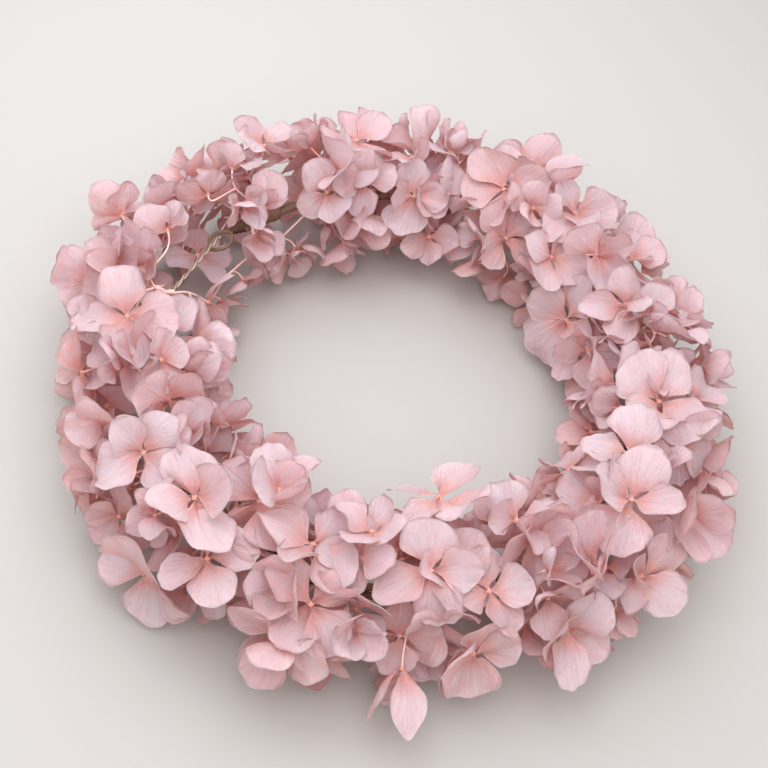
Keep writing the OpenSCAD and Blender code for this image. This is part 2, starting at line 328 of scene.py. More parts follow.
class Pile:
    """Points, faces and paint of one object, gathered part by part."""

    def __init__(self):
        self.points, self.faces, self.place, self.paint = [], [], [], []
        self.count = 0

    def add(self, points, faces, place, paint):
        """place is each point's two surface coordinates, and paint its four numbers for the shader."""
        self.points.append(np.asarray(points, float).reshape(-1, 3))
        self.faces.extend([tuple(self.count + i for i in face) for face in faces])
        self.place.append(np.asarray(place, float).reshape(-1, 2))
        self.paint.append(np.broadcast_to(np.asarray(paint, float), (len(self.points[-1]), 4)))
        self.count += len(self.points[-1])

    def build(self, name, material):
        """Makes the smooth-shaded object, with its surface coordinates and its paint."""
        mesh = bpy.data.meshes.new(name)
        mesh.from_pydata(np.concatenate(self.points).tolist(), [], self.faces)
        mesh.polygons.foreach_set("use_smooth", [True] * len(mesh.polygons))
        corners = np.zeros(len(mesh.loops), np.int32)
        mesh.loops.foreach_get("vertex_index", corners)
        place = mesh.uv_layers.new(name="place")
        place.data.foreach_set("uv", np.concatenate(self.place)[corners].astype(np.float32).ravel())
        paint = mesh.color_attributes.new("paint", "FLOAT_COLOR", "POINT")
        paint.data.foreach_set("color", np.concatenate(self.paint).astype(np.float32).ravel())
        mesh.materials.append(material)
        return add_object(name, mesh)


def grid_faces(rows, columns, closed=False, joined=False, start=0):
    """Quads of a grid of points; closed joins its last column to its first, and joined its last row."""
    return [
        (
            start + r * columns + c,
            start + r * columns + (c + 1) % columns,
            start + (r + 1) % rows * columns + (c + 1) % columns,
            start + (r + 1) % rows * columns + c,
        )
        for r in range(rows if joined else rows - 1)
        for c in range(columns if closed else columns - 1)
    ]


def flipped(faces):
    """Faces that look the other way."""
    return [tuple(reversed(face)) for face in faces]


def ease(share):
    """A share of the way that starts and ends slowly."""
    return share * share * (3 - 2 * share)


def smooth_path(points, steps):
    """Points along a Catmull-Rom curve through the given ones."""
    p = [Vector(q) for q in points]
    p = [p[0] * 2 - p[1]] + p + [p[-1] * 2 - p[-2]]
    made = []
    for i in range(1, len(p) - 2):
        for s in range(steps):
            t = s / steps
            a = p[i] * 2
            b = (p[i + 1] - p[i - 1]) * t
            c = (p[i - 1] * 2 - p[i] * 5 + p[i + 1] * 4 - p[i + 2]) * t * t
            d = (p[i] * 3 - p[i - 1] - p[i + 1] * 3 + p[i + 2]) * t**3
            made.append((a + b + c + d) / 2)
    return made + [p[-2]]


def bezier(a, b, c, d, steps):
    """Points along a cubic curve from a to d."""
    made = []
    for i in range(steps + 1):
        t = i / steps
        made.append(a * (1 - t) ** 3 + b * (3 * t * (1 - t) ** 2) + c * (3 * t * t * (1 - t)) + d * t**3)
    return made


def tube(pile, path, radius, sides=8, closed=False):
    """Sweeps a round section along a path. radius is one number, one a ring, or a grid of ring by side."""
    path = [Vector(p) for p in path]
    count = len(path)
    radius = np.asarray(radius, float)
    if radius.ndim < 2:
        radius = np.broadcast_to(radius.reshape(-1, 1), (count, sides))
    along = []
    for i in range(count):
        before = path[i - 1] if closed or i else path[0]
        after = path[(i + 1) % count] if closed or i < count - 1 else path[-1]
        along.append((after - before).normalized())
    side = along[0].orthogonal().normalized()
    if abs(along[0].z) < 0.9:
        side = along[0].cross(UP).normalized()
    rings, lengths, run = [], [], 0.0
    for i, (place, way) in enumerate(zip(path, along)):
        side = (side - way * side.dot(way)).normalized()
        other = way.cross(side)
        run += (path[i] - path[i - 1]).length if i else 0.0
        lengths.append(run)
        for j in range(sides):
            a = 2 * math.pi * j / sides
            rings.append(place + (side * math.cos(a) + other * math.sin(a)) * float(radius[i, j]))
    faces = grid_faces(count, sides, closed=True, joined=closed)
    if not closed:
        last = (count - 1) * sides
        faces += [tuple(range(sides - 1, -1, -1)), tuple(range(last, last + sides))]
    place = [(j / sides, lengths[i] / TUBE_UNIT) for i in range(count) for j in range(sides)]
    pile.add([tuple(p) for p in rings], faces, place, (0, 0, 0, 0))


# ---------------------------------------------------------------- materials

PETAL_PALE = (0.89, 0.82, 0.91, 1)
PETAL_CORAL = (0.92, 0.67, 0.68, 1)
# Cool lavender of the petals: partly their own random tone, partly painted sky sheen on the petals on top of the
# bed and on the pleats' raised ridges
PETAL_COOL_SHEEN = (0.86, 0.87, 0.98, 1)
PETAL_BLUSH = (0.91, 0.74, 0.77, 1)
# Salmon of the claws, its own colour, which also serves as painted shade: it reaches far out so that the florets'
# depths show coral
PETAL_CLAW_AND_SHADE = (0.92, 0.38, 0.30, 1)
PETAL_VEIN = (0.82, 0.50, 0.51, 1)
PETAL_RIM = (0.92, 0.93, 0.97, 1)
PETAL_THROUGH = (1.00, 0.58, 0.52, 1)
STALK_SALMON, STALK_PALE = (0.80, 0.43, 0.38, 1), (0.91, 0.66, 0.62, 1)
BUD_CORAL, BUD_GROOVE, BUD_SPECK = (0.84, 0.38, 0.30, 1), (0.56, 0.14, 0.09, 1), (0.90, 0.56, 0.48, 1)
WIRE_DULL, WIRE_BRIGHT = (0.30, 0.23, 0.18, 1), (0.62, 0.54, 0.46, 1)


def petal_material():
    """Thin, matte, veined petal: salmon at the claw, laid strongly and far out as painted coral shade in the
    floret's depth, lavender with painted sky sheen where cool, pale at the rim, and warm where light comes
    through.
    """
    s = Shader("petal")
    across, along, _ = s.place()
    (tone, cool, rim), seed = s.paint()

    # Veins fan out from the claw, so they are drawn over the angle from it and the distance
    fan = s.math("ARCTAN2", across, s.plus(along, 0.16))
    far = s.math("SQRT", s.plus(s.times(across, across), s.times(along, along)))
    seeded = s.times(seed, 40.0)

    def fanned(count, stretch, detail):
        return s.noise(s.at(s.times(fan, count), s.times(far, stretch), seeded), 1.0, detail)

    def lines(noise, thin):
        return s.spread(s.math("ABSOLUTE", s.math("SUBTRACT", noise, 0.5)), 0.0, thin, 1.0, 0.0)

    pleats = fanned(7.0, 0.9, 1.0)
    main = lines(fanned(9.0, 1.6, 1.5), 0.03)
    fine = lines(fanned(26.0, 7.0, 3.0), 0.05)
    veins = s.plus(s.times(main, 0.7), s.times(fine, 0.35), clamp=True)
    blotch_at = s.at(across, along, seeded)
    blotch = s.noise(blotch_at, 3.5, 4.0, 0.6)
    grain = s.noise(blotch_at, 48.0, 2.0, 0.6)

    body = s.mix(tone, PETAL_PALE, PETAL_CORAL)
    # Cool lavender: partly the petal's own random tone, partly painted sky sheen, since the cool paint is higher
    # on top of the bed
    body = s.mix(cool, body, PETAL_COOL_SHEEN)
    body = s.mix(s.spread(blotch, 0.35, 0.7, 0.0, 0.5), body, PETAL_BLUSH)
    # Painted sky sheen on the raised ridges of the pleats
    body = s.mix(s.spread(pleats, 0.42, 0.66, 0.0, 0.5), body, PETAL_COOL_SHEEN)
    # Painted shade in the floret's depth: the claw's own salmon is laid strongly and reaches far out along the
    # petal
    claw = s.spread(s.plus(along, s.times(blotch, 0.14)), 0.06, 0.64, 0.85, 0.0)
    body = s.mix(claw, body, PETAL_CLAW_AND_SHADE)
    body = s.mix(s.times(veins, 0.36), body, PETAL_VEIN)
    body = s.mix(s.spread(grain, 0.50, 0.68, 0.0, 0.6), body, PETAL_RIM)
    body = s.mix(s.spread(rim, 0.0, 0.12, 0.8, 0.0), body, PETAL_RIM)

    height = s.plus(s.times(veins, -0.5), s.times(grain, 0.7))
    height = s.plus(height, s.times(pleats, 2.2))
    normal = s.bump(s.plus(height, s.times(blotch, 1.2)), 0.45 * MM, 0.7)
    rough = s.spread(grain, 0.3, 0.7, 0.52, 0.7)
    face = s.principled(body, rough, normal, Specular_IOR_Level=0.3, Sheen_Weight=0.2, Sheen_Roughness=0.5)
    glow = s.add("BsdfTranslucent", {"Color": s.mix(0.65, body, PETAL_THROUGH), "Normal": normal})
    return s.finish(s.add("MixShader", {0: 0.58, 1: face, 2: glow.outputs[0]}).outputs[0])


def stalk_material():
    """Thin stalks, salmon with pale streaks along them and a waxy look."""
    s = Shader("stalk")
    around, along, _ = s.place()
    streaks = s.noise(s.at(s.times(around, 9.0), along), 1.6, 3.0)
    colour = s.mix(s.spread(streaks, 0.35, 0.65), STALK_SALMON, STALK_PALE)
    return s.finish(s.principled(colour, 0.5, s.bump(streaks, 0.1 * MM, 0.5)))


def bud_material():
    """The tight middle of a floret: coral, darker in its grooves."""
    s = Shader("bud")
    (groove, _, _), _ = s.paint()
    speck = s.noise(s.add("UVMap", uv_map="place").outputs[0], 9.0, 3.0)
    colour = s.mix(groove, BUD_CORAL, BUD_GROOVE)
    colour = s.mix(s.spread(speck, 0.5, 0.75), colour, BUD_SPECK)
    return s.finish(s.principled(colour, 0.55, s.bump(speck, 0.12 * MM, 0.6)))


def tape_material(name, light, dark, creases=5.0):
    """Stretched paper tape wound round in a slant: creases, fibres and darker laps."""
    s = Shader(name)
    around, along, _ = s.place()
    slant = s.plus(around, s.times(along, creases))
    lap = s.math("FRACT", slant)
    fibre_at = s.at(s.times(around, 5.0), s.times(slant, 2.0))
    fibre = s.noise(fibre_at, 6.0, 4.0, 0.65)
    worn = s.noise(fibre_at, 1.1, 2.0)
    colour = s.mix(s.spread(fibre, 0.3, 0.7), dark, light)
    colour = s.mix(s.spread(lap, 0.0, 0.18, 0.6, 0.0), colour, dark)
    colour = s.mix(s.spread(worn, 0.45, 0.75, 0.0, 0.4), colour, light)
    normal = s.bump(s.plus(lap, s.times(fibre, 0.5)), 0.3 * MM, 0.8)
    return s.finish(s.principled(colour, 0.78, normal, Specular_IOR_Level=0.3))


def wire_material():
    """Bare twisted wire, silvery tan, dulled and streaked along its length."""
    s = Shader("bare_wire")
    around, along, _ = s.place()
    dull = s.noise(s.at(s.times(around, 6.0), along), 2.4, 4.0, 0.6)
    colour = s.mix(s.spread(dull, 0.35, 0.65), WIRE_DULL, WIRE_BRIGHT)
    rough = s.spread(dull, 0.3, 0.7, 0.30, 0.55)
    return s.finish(s.principled(colour, rough, s.bump(dull, 0.05 * MM, 0.4), Metallic=0.85))


MATERIALS = {
    "petal": petal_material(),
    "stalk": stalk_material(),
    "bud": bud_material(),
    "tape": tape_material("stem_tape", (0.34, 0.20, 0.15, 1), (0.13, 0.065, 0.04, 1)),
    "strand": tape_material("paper_wire", (0.34, 0.23, 0.17, 1), (0.12, 0.07, 0.045, 1), 3.0),
    "eye": tape_material("eye_paper", (0.34, 0.23, 0.16, 1), (0.07, 0.035, 0.02, 1), 7.0),
    "neck": tape_material("neck_tape", (0.18, 0.10, 0.065, 1), (0.025, 0.012, 0.008, 1), 9.0),
    "wire": wire_material(),
}

# ---------------------------------------------------------------- petals

# A petal's surface is a square grid of points pressed into a disc, and the disc into the petal.
# The coarse grid stands for it while the florets are arranged.
PETAL_GRID = 13
PROXY_GRID = 6
PETAL_SHELL = 0.22 * MM
# Where a petal starts to widen from its claw, and over how much of it, its length being 2
CLAW_LENGTH = 0.95
CLAW_SPREAD = 0.85
# Share of the petals that are rolled up along their length
ROLLED_SHARE = 0.14
# Lowest that anything reaches, and how softly it bends off the floor
FLOOR_GAP = 0.5 * MM
FLOOR_SOFT = 0.9 * MM
# Range of the phases of waves, ruffles and dents: a full turn
PHASES = 6.28


def disc_grid(count):
    """A square grid pressed into a disc: along, across, distance from the middle and angle."""
    a, b = np.meshgrid(np.linspace(-1, 1, count), np.linspace(-1, 1, count), indexing="ij")
    along, across = a * np.sqrt(1 - b * b / 2), b * np.sqrt(1 - a * a / 2)
    return along, across, np.hypot(along, across), np.arctan2(across, along)


DISCS = {count: disc_grid(count) for count in (PETAL_GRID, PROXY_GRID)}


class Petal:
    """The measures of one petal. Lengths are in metres, and bends in radians."""

    def __init__(self, rng, length, rise, narrow=1.0):
        self.length = length
        self.half_width = length * rng.uniform(0.45, 0.58) * narrow
        self.curl = 0.6 * rise + rng.gauss(0, 0.50)
        self.lift = rise - self.curl / 2
        self.cup = rng.gauss(0.35, 0.42)
        self.fold = max(0.0, rng.gauss(0.02, 0.10))
        if rng.random() < ROLLED_SHARE:
            self.cup = rng.choice((-1, 1, 1)) * rng.uniform(1.1, 1.9)
            self.half_width *= 0.9
        self.sway = rng.gauss(0, 0.10)
        self.roll = rng.gauss(0, 0.34)
        self.twist = rng.gauss(0, 0.36)
        self.point = rng.choice((0.0, 0.0, 0.05, 0.09, -0.04))
        self.taper = rng.choice((0.0, 0.0, 0.1, 0.2))
        self.claw = rng.uniform(0.14, 0.30)
        self.waves = [(n, rng.gauss(0, 0.018), rng.uniform(0, PHASES)) for n in (2, 3, 5, 8, 11)]
        self.ruffles = [(n, rng.gauss(0, 0.045), rng.uniform(0, PHASES)) for n in (2, 3, 5)]
        self.dents = [
            (rng.uniform(1.5, 5.5), rng.uniform(1.5, 5.5), rng.gauss(0, 0.35 * MM), rng.uniform(0, PHASES))
            for _ in range(4)
        ]
        self.seed = rng.random()

    def surface(self, count):
        """Grid of points of the petal's middle surface: X along it, Y across, Z up from its upper face.

        Gives the shares of its length along and across it and the distance from its rim with them.
        """
        along, across, far, angle = DISCS[count]
        edge = 1 + sum(size * np.sin(n * angle + turn) for n, size, turn in self.waves) * far**2
        edge = edge + self.point * np.exp(-((angle / 0.35) ** 2)) * far**3
        u = (along * edge + 1) / 2
        opening = np.clip((along + CLAW_LENGTH) / CLAW_SPREAD, 0, 1)
        narrow = self.claw + (1 - self.claw) * ease(opening)
        narrow = narrow * (1 - self.taper * np.clip(along, 0, 1) ** 2)
        v = across * edge * narrow * self.half_width
        # The length runs along an arc from the lift through the curl
        slope = self.lift + self.curl * u
        arc = self.curl if abs(self.curl) > 1e-3 else 1e-3
        x = self.length / arc * (np.sin(slope) - math.sin(self.lift))
        z = -self.length / arc * (np.cos(slope) - math.cos(self.lift))
        # Across it, the petal is cupped and folded, with ruffles at the rim and dents
        bow = self.cup / self.half_width * (0.35 + 0.65 * np.clip(u, 0, 1))
        bow = np.where(np.abs(bow) < 1e-3, 1e-3, bow)
        y = np.sin(bow * v) / bow
        h = (1 - np.cos(bow * v)) / bow + self.fold * np.abs(v)
        ripple = sum(size * np.sin(n * angle + turn) for n, size, turn in self.ruffles)
        h = h + ripple * self.half_width * far**2.5
        h = h + sum(d * np.sin(p * u + turn) * np.sin(q * across + turn) for p, q, d, turn in self.dents)
        lean = self.roll + self.twist * u
        y, h = y * np.cos(lean) - h * np.sin(lean), y * np.sin(lean) + h * np.cos(lean)
        y = y + self.sway * self.length * u**2
        points = np.stack([x - h * np.sin(slope), y, z + h * np.cos(slope)], -1)
        return points, u, v / self.length, 1 - far

    def placed(self, points, axes):
        """Turns the grid to the petal's side of its floret and moves it to the floret's place."""
        centre, along, across, up = axes
        c, s = math.cos(self.azimuth), math.sin(self.azimuth)
        x = points[..., 0] + PETAL_START
        y = points[..., 1]
        px, py, pz = x * c - y * s, x * s + y * c, points[..., 2] + self.raise_by
        return centre + px[..., None] * along + py[..., None] * across + pz[..., None] * up


def above_floor(points):
    """Presses what would reach below the floor into a thin stack just above it."""
    z = points[..., 2]
    pressed = FLOOR_GAP + FLOOR_SOFT * np.logaddexp(0, (z - FLOOR_GAP) / FLOOR_SOFT)
    return np.concatenate([points[..., :2], pressed[..., None]], -1)


def shell(pile, points, place, paint, thickness):
    """A closed thin shell about a grid of points."""
    rows, columns = points.shape[:2]
    normal = np.cross(np.gradient(points, axis=0), np.gradient(points, axis=1))
    normal = normal / np.maximum(np.linalg.norm(normal, axis=-1, keepdims=True), 1e-12)
    half = normal * thickness[..., None] / 2
    top, under = (points + half).reshape(-1, 3), (points - half).reshape(-1, 3)
    count = rows * columns
    faces = grid_faces(rows, columns, start=count) + flipped(grid_faces(rows, columns))
    rim = [r * columns for r in range(rows)]
    rim += [(rows - 1) * columns + c for c in range(1, columns)]
    rim += [r * columns + columns - 1 for r in range(rows - 2, -1, -1)]
    rim += range(columns - 2, 0, -1)
    faces += [(a, b, count + b, count + a) for a, b in zip(rim, rim[1:] + rim[:1])]
    pile.add(np.concatenate([top, under]), faces, np.tile(place, (2, 1)), np.tile(paint, (2, 1)))


# ---------------------------------------------------------------- florets

# How much more one pair of petals lifts than the other, in degrees, and how far each strays
LIFT_STEP = 7
PETAL_STRAY = 0.26
PETAL_START = 0.5 * MM
BUD_RADIUS = 0.9 * MM
BUD_RISE = 0.55 * MM
# How far the bud's four lobes stand out, and its dimple's depth and width, as shares of its radius
BUD_LOBE = 0.14
BUD_DIMPLE = 0.35
STALK_RADIUS = 0.34 * MM
STALK_STEPS = 12
# How far under a floret's middle its stalk turns up to it
UNDER = 8 * MM


class Floret:
    """Four petals round a bud: a lower pair, and an upper pair across it that lifts more."""

    def __init__(self, rng, centre, normal, reference, radius, turn, rise, tone, cool, narrow=1.0):
        self.name = None
        self.centre = np.array(centre)
        self.up = Vector(normal).normalized()
        along = (Vector(reference) - self.up * Vector(reference).dot(self.up)).normalized()
        self.axes = [self.centre] + [np.array(v) for v in (along, self.up.cross(along), self.up)]
        self.petals = []
        for q in range(4):
            upper = q % 2
            lift = math.radians(rise + LIFT_STEP * upper) + rng.gauss(0, PETAL_STRAY)
            length = radius * (0.95 if upper else 1.0) * rng.uniform(0.84, 1.10)
            petal = Petal(rng, length, lift, narrow)
            petal.azimuth = math.radians(turn + 90 * q + rng.gauss(0, 10))
            petal.raise_by = (0.25 + 0.45 * upper) * MM
            petal.tone = min(1, max(0, tone + rng.gauss(0, 0.12)))
            petal.cool = min(1, max(0, cool + rng.gauss(0, 0.26)))
            self.petals.append(petal)

    def outside(self):
        """Whether the floret's middle is further out than the wire."""
        return math.hypot(*self.centre[:2]) > RING_R

    def surfaces(self, count):
        """Each petal with its placed grid, shares along and across it and distance from its rim."""
        for petal in self.petals:
            points, u, v, rim = petal.surface(count)
            yield petal, above_floor(petal.placed(points, self.axes)), u, v, rim

    def proxy(self):
        """Points of the coarse petals, with their tree and their middle."""
        points, faces = [], []
        for _, placed, _, _, _ in self.surfaces(PROXY_GRID):
            faces += grid_faces(PROXY_GRID, PROXY_GRID, start=len(points) * PROXY_GRID**2)
            points.append(placed.reshape(-1, 3))
        points = np.concatenate(points)
        return points, BVHTree.FromPolygons(points.tolist(), faces), Vector(points.mean(0))

    def add_petals(self, pile):
        """Adds the petals, thinner at their rims."""
        for petal, placed, u, v, rim in self.surfaces(PETAL_GRID):
            thickness = PETAL_SHELL * (0.45 + 0.55 * np.clip(rim * 4, 0, 1))
            place = np.stack([v.ravel(), u.ravel()], -1)
            paint = np.empty((u.size, 4))
            paint[:] = petal.tone, petal.cool, 0, petal.seed
            paint[:, 2] = rim.ravel()
            shell(pile, placed, place, paint, thickness)

    def add_bud(self, pile):
        """Adds a small four-lobed bud with a dimple on top."""
        rows, columns = 8, 16
        _, along, across, up = self.axes
        points, paint, place = [], [], []
        for i in range(rows):
            rise = math.pi * (i + 0.35) / (rows - 0.3)
            for j in range(columns):
                turn = 2 * math.pi * j / columns
                lobe = math.cos(4 * turn)
                r = BUD_RADIUS * (1 + BUD_LOBE * lobe * math.sin(rise))
                flat = r * math.sin(rise)
                dimple = BUD_DIMPLE * BUD_RADIUS
                tall = r * math.cos(rise) * 0.85 - dimple * math.exp(-((flat / dimple) ** 2))
                spot = along * math.cos(turn) * flat + across * math.sin(turn) * flat + up * (tall + BUD_RISE)
                points.append(self.centre + spot)
                paint.append((0.5 - 0.5 * lobe, 0, 0, 0))
                place.append((j / columns, i / rows))
        faces = flipped(grid_faces(rows, columns, closed=True))
        faces += [tuple(range(columns)), tuple(range(rows * columns - 1, (rows - 1) * columns - 1, -1))]
        pile.add(above_floor(np.array(points)), faces, place, np.array(paint))

    def under(self):
        """The place that a stalk comes up from."""
        return Vector(self.centre) - self.up * UNDER

    def add_stalk(self, pile, root):
        """Adds a curved stalk from an earlier one to the floret, and gives a later one's root on it."""
        top = Vector(self.centre) + self.up * 0.2 * MM
        under = top - self.up * min(UNDER, (top - root).length * 0.5)
        first = root.lerp(under, 0.55) + (root - on_ring(ring_angle(root))) * 0.1
        path = above_floor(np.array([tuple(p) for p in bezier(root, first, under, top, STALK_STEPS)]))
        share = np.linspace(0, 1, len(path))
        radius = STALK_RADIUS * (1.35 - 0.55 * share + 0.9 * np.exp(-((share - 1) / 0.06) ** 2))
        tube(pile, path, radius, sides=6)
        return Vector(path[STALK_STEPS // 2])


# ---------------------------------------------------------------- where the florets are

# The bed is a tube round the wire on which the florets' middles lie: out, up, in and down from it
BED_OUT, BED_UP, BED_IN, BED_DOWN = 23.5 * MM, 22.0 * MM, 16.0 * MM, 19.0 * MM

# Florets placed by an image point: size in millimetres, turn seen from the camera, how far it
# faces the camera, how far its petals rise, coral tone and cool tone
HEROES = {
    "low_middle": (16.5, 20, 0.5, 8, 0.15, 0.3),
    "front_middle": (18, 60, 0.35, 10, 0.3, 0.15),
    "low_left": (16.5, 40, 0.4, 14, 0.3, 0.1),
    "right_big": (18.5, 75, 0.4, 10, 0.25, 0.2),
    "left_low": (17, 15, 0.4, 16, 0.3, 0.15),
    "left_pale": (20, 175, 0.4, 8, 0.05, 0.6),
    "left_round": (16.5, 35, 0.45, 18, 0.2, 0.5),
    "upper_right": (19, 55, 0.4, 14, 0.2, 0.4),
    "hanging": (21, 85, -0.45, 58, 0.3, 0.3),
    "by_clasp": (14, 30, 0.5, 12, 0.1, 0.5),
    "right_low": (17, 130, 0.3, 12, 0.3, 0.2),
    "top_right": (16, 20, 0.3, 14, 0.2, 0.4),
    "left_small": (18, 12, 0.45, 12, 0.05, 0.6),
}
# How narrow these florets' petals are, how far they stand off the bed, and how far, in
# millimetres, they are behind it
NARROW = {"hanging": 0.55}
STANDS_OFF = {"front_middle": 12.6 * MM, "left_pale": 4.9 * MM}
BEHIND = {"by_clasp": 38}
# Florets that stand out of the bed: ring angle, tube angle, reach, then size to cool tone as above
EXTRAS = [
    (183, 112, 1.2, 15, 35, 0.2, 40, 0.1, 0.6),
    (206, 108, 1.15, 14, 60, 0.3, 25, 0.25, 0.3),
    (240, 112, 1.15, 14, 20, 0.3, 25, 0.25, 0.3),
    (125.5, 104, 0.85, 13, 20, 0.5, 10, 0.0, 0.7),
    (57, 125, 0.95, 14, 30, 0.35, 14, 0.2, 0.4),
    (47, 118, 1.0, 14, 10, 0.35, 14, 0.2, 0.4),
    (70, 8, 1.0, 15, 30, 0.3, 22, 0.35, 0.2),
    (77, -16, 0.95, 15, 60, 0.3, 20, 0.35, 0.2),
    (77, 36, 0.95, 14, 10, 0.3, 26, 0.3, 0.3),
    (84, 6, 1.0, 15, 45, 0.3, 22, 0.3, 0.3),
    (91, -24, 0.95, 14, 20, 0.3, 20, 0.3, 0.3),
    (91, 26, 0.95, 14, 70, 0.3, 24, 0.2, 0.5),
    (98, -4, 1.0, 15, 35, 0.3, 20, 0.2, 0.5),
    (104, 22, 1.0, 14, 15, 0.3, 22, 0.2, 0.5),
    (67, 206, 0.95, 13, 20, 0.1, 14, 0.4, 0.1),
    (76, 216, 0.95, 12, 60, 0.1, 14, 0.4, 0.1),
    (86, 218, 0.95, 12, 35, 0.1, 14, 0.35, 0.2),
    (97, 216, 0.95, 12, 10, 0.1, 14, 0.3, 0.3),
]
HERO_POSTURES = 8

# The part's own florets: place along the sprig, tube angle, reach, radius and spin
EVEN_SPRIG = [
    (-0.26, -44, 20, 16, 10), (0.26, -36, 22, 17, 50), (-0.14, 8, 24, 19, 70),
    (0.18, 50, 23, 20, 25), (-0.20, 90, 22, 19, 60), (0.16, 134, 20, 17, 15),
    (-0.14, 186, 17, 15, 40), (0.20, 222, 17, 14, 75), (-0.26, 46, 20, 16, 35),
    (0.24, 94, 19, 15, 5),
]
ODD_SPRIG = [
    (0.24, -46, 20, 17, 30), (-0.24, -30, 22, 18, 80), (0.16, 20, 24, 19, 5),
    (-0.18, 62, 23, 20, 45), (0.16, 100, 22, 19, 85), (-0.16, 150, 19, 17, 55),
    (0.12, 200, 17, 15, 20), (0.28, 60, 19, 15, 20),
]
CLASP_SPRIG = [
    (0.26, -44, 21, 17, 10), (-0.28, -36, 22, 16, 50), (0.24, 8, 24, 18, 70),
    (-0.26, 16, 25, 17, 20), (0.28, 56, 24, 17, 35), (0.36, 106, 21, 14, 60),
    (0.34, 158, 18, 14, 25), (0.16, 214, 18, 14, 75),
]
# The part's florets that stand out: sprig and floret, with their place along it and tube angle
STAND_OUT = {
    (4, 1): (-0.24, -12), (5, 3): (0, 44), (6, 1): (-0.3, -6), (6, 3): (-0.16, 80),
    (6, 5): (0.02, 130), (8, 1): (-0.36, 4), (11, 3): (0.36, 76), (11, 6): (-0.4, 176),
}
# How far the part's florets stray from their lists, in degrees and millimetres
TUBE_VARY, REACH_VARY, SPIN_VARY, TILT_VARY, LIFT_VARY = 6, 1.5, 20, 18, 12
PETAL_LIFT = 20
PartPlace = namedtuple("PartPlace", "sprig place off reference radius spin rise angle tube_angle")

# Postures tried for each of them: the first ones stay at its place, the later ones stray by a
# step, and every third one is sunk into the bed. Sizes are shares of the part's, which are larger.
POSTURES = 12
STILL_POSTURES = 4
MOVE_STEP = 2.2 * MM
SINK = 6 * MM
SIZES = (0.84, 0.98)
LEAN = 0.35
SPIN_STRAY = 8
# Share of them that is half closed, and by how many degrees more their petals rise
CLOSED_SHARE = 0.22
CLOSED_RISE = 32
# Coral tone and cool tone: the mean, how much more at the top of the bed, and how far they stray. The step by
# height is painted light: coral low down is painted shade, and cool on top is painted sky sheen.
TONES = [(0.45, -0.25, 0.22), (0.12, 0.14, 0.26)]

# Smaller florets between the part's own: how many on a sprig, how deep in the bed and how large
FILLS = [(6, 0.66, (12, 15.5)), (4, 0.98, (11, 14.5))]
CLASP_FILLS = [(6, 0.75, (12, 15)), (6, 1.0, (11, 15))]
FILL_TUBE = (-52, 232)
FILL_DEPTHS = (0.92, 1.08)
# How far they lean, and in degrees how their petals rise: at least, then the mean and spread of more
FILL_LEAN = 0.5
FILL_RISE = (12, 6, 22)
# Angles of the ring by which they keep off a sprig's ends, and by which they reach over the gap
# at the clasp, below each tube angle
EDGE_ROOM = 3.0
CLASP_GAPS = [(20, 14.0), (55, 7.0)]
# Places tried for each, how many of the roomiest are kept, and the postures tried at each of those
CANDIDATES = 24
ROOMIEST = 4
FILL_POSTURES = 4
# Stretches of the ring that they leave open, so that its wire shows: ring angles and tube angles
WINDOWS = [(FIRST_ANGLE - 20, FIRST_ANGLE + 48, 60, 190), (FIRST_ANGLE + 325, FIRST_ANGLE + 361, 70, 185)]

# What the part's own florets leave to the clasp: ring angles past FIRST_ANGLE, and tube angles
CLASP_RING, CLASP_TUBE = (-12, 46), (60, 190)


def bed_reach(tube_angle):
    """Distance of the bed from the wire at an angle round it: 0 outward, 90 up, 180 inward."""
    a = math.radians(tube_angle)
    side = BED_OUT if math.cos(a) > 0 else BED_IN
    tall = BED_UP if math.sin(a) > 0 else BED_DOWN
    return 1 / math.hypot(math.cos(a) / side, math.sin(a) / tall)


def bed_place(angle, tube_angle, share=1.0):
    """A place on the bed and the direction straight off it."""
    a = math.radians(tube_angle)
    reach = bed_reach(tube_angle) * share
    outward, _ = ring_axes(angle)
    off = outward * math.cos(a) + UP * math.sin(a)
    return on_ring(angle, reach * math.cos(a), reach * math.sin(a)), off


def bed_tree():
    """The whole bed, for the rays through the image points."""
    rows, columns = 180, 36
    points = [bed_place(360 * i / rows, 360 * j / columns)[0] for i in range(rows) for j in range(columns)]
    return BVHTree.FromPolygons(points, grid_faces(rows, columns, closed=True, joined=True))


def span_of(sprig):
    """First and last ring angle of a sprig's CAD solid, at the wire."""
    middle = node_angle(f"stem_wrap_{sprig}")
    vertices = frame["nodes"][f"sprig_{sprig}"].data.vertices
    turns = [((ring_angle(v.co) - middle + 180) % 360) - 180 for v in vertices]
    return middle + min(turns), middle + max(turns)


SPANS = {k: span_of(k) for k in range(1, SPRIGS + 1)}


def sprig_at(angle):
    """The sprig whose place holds a ring angle, or the nearest one."""
    return min(SPANS, key=lambda k: max(SPANS[k][0] - angle, angle - SPANS[k][1], 0))


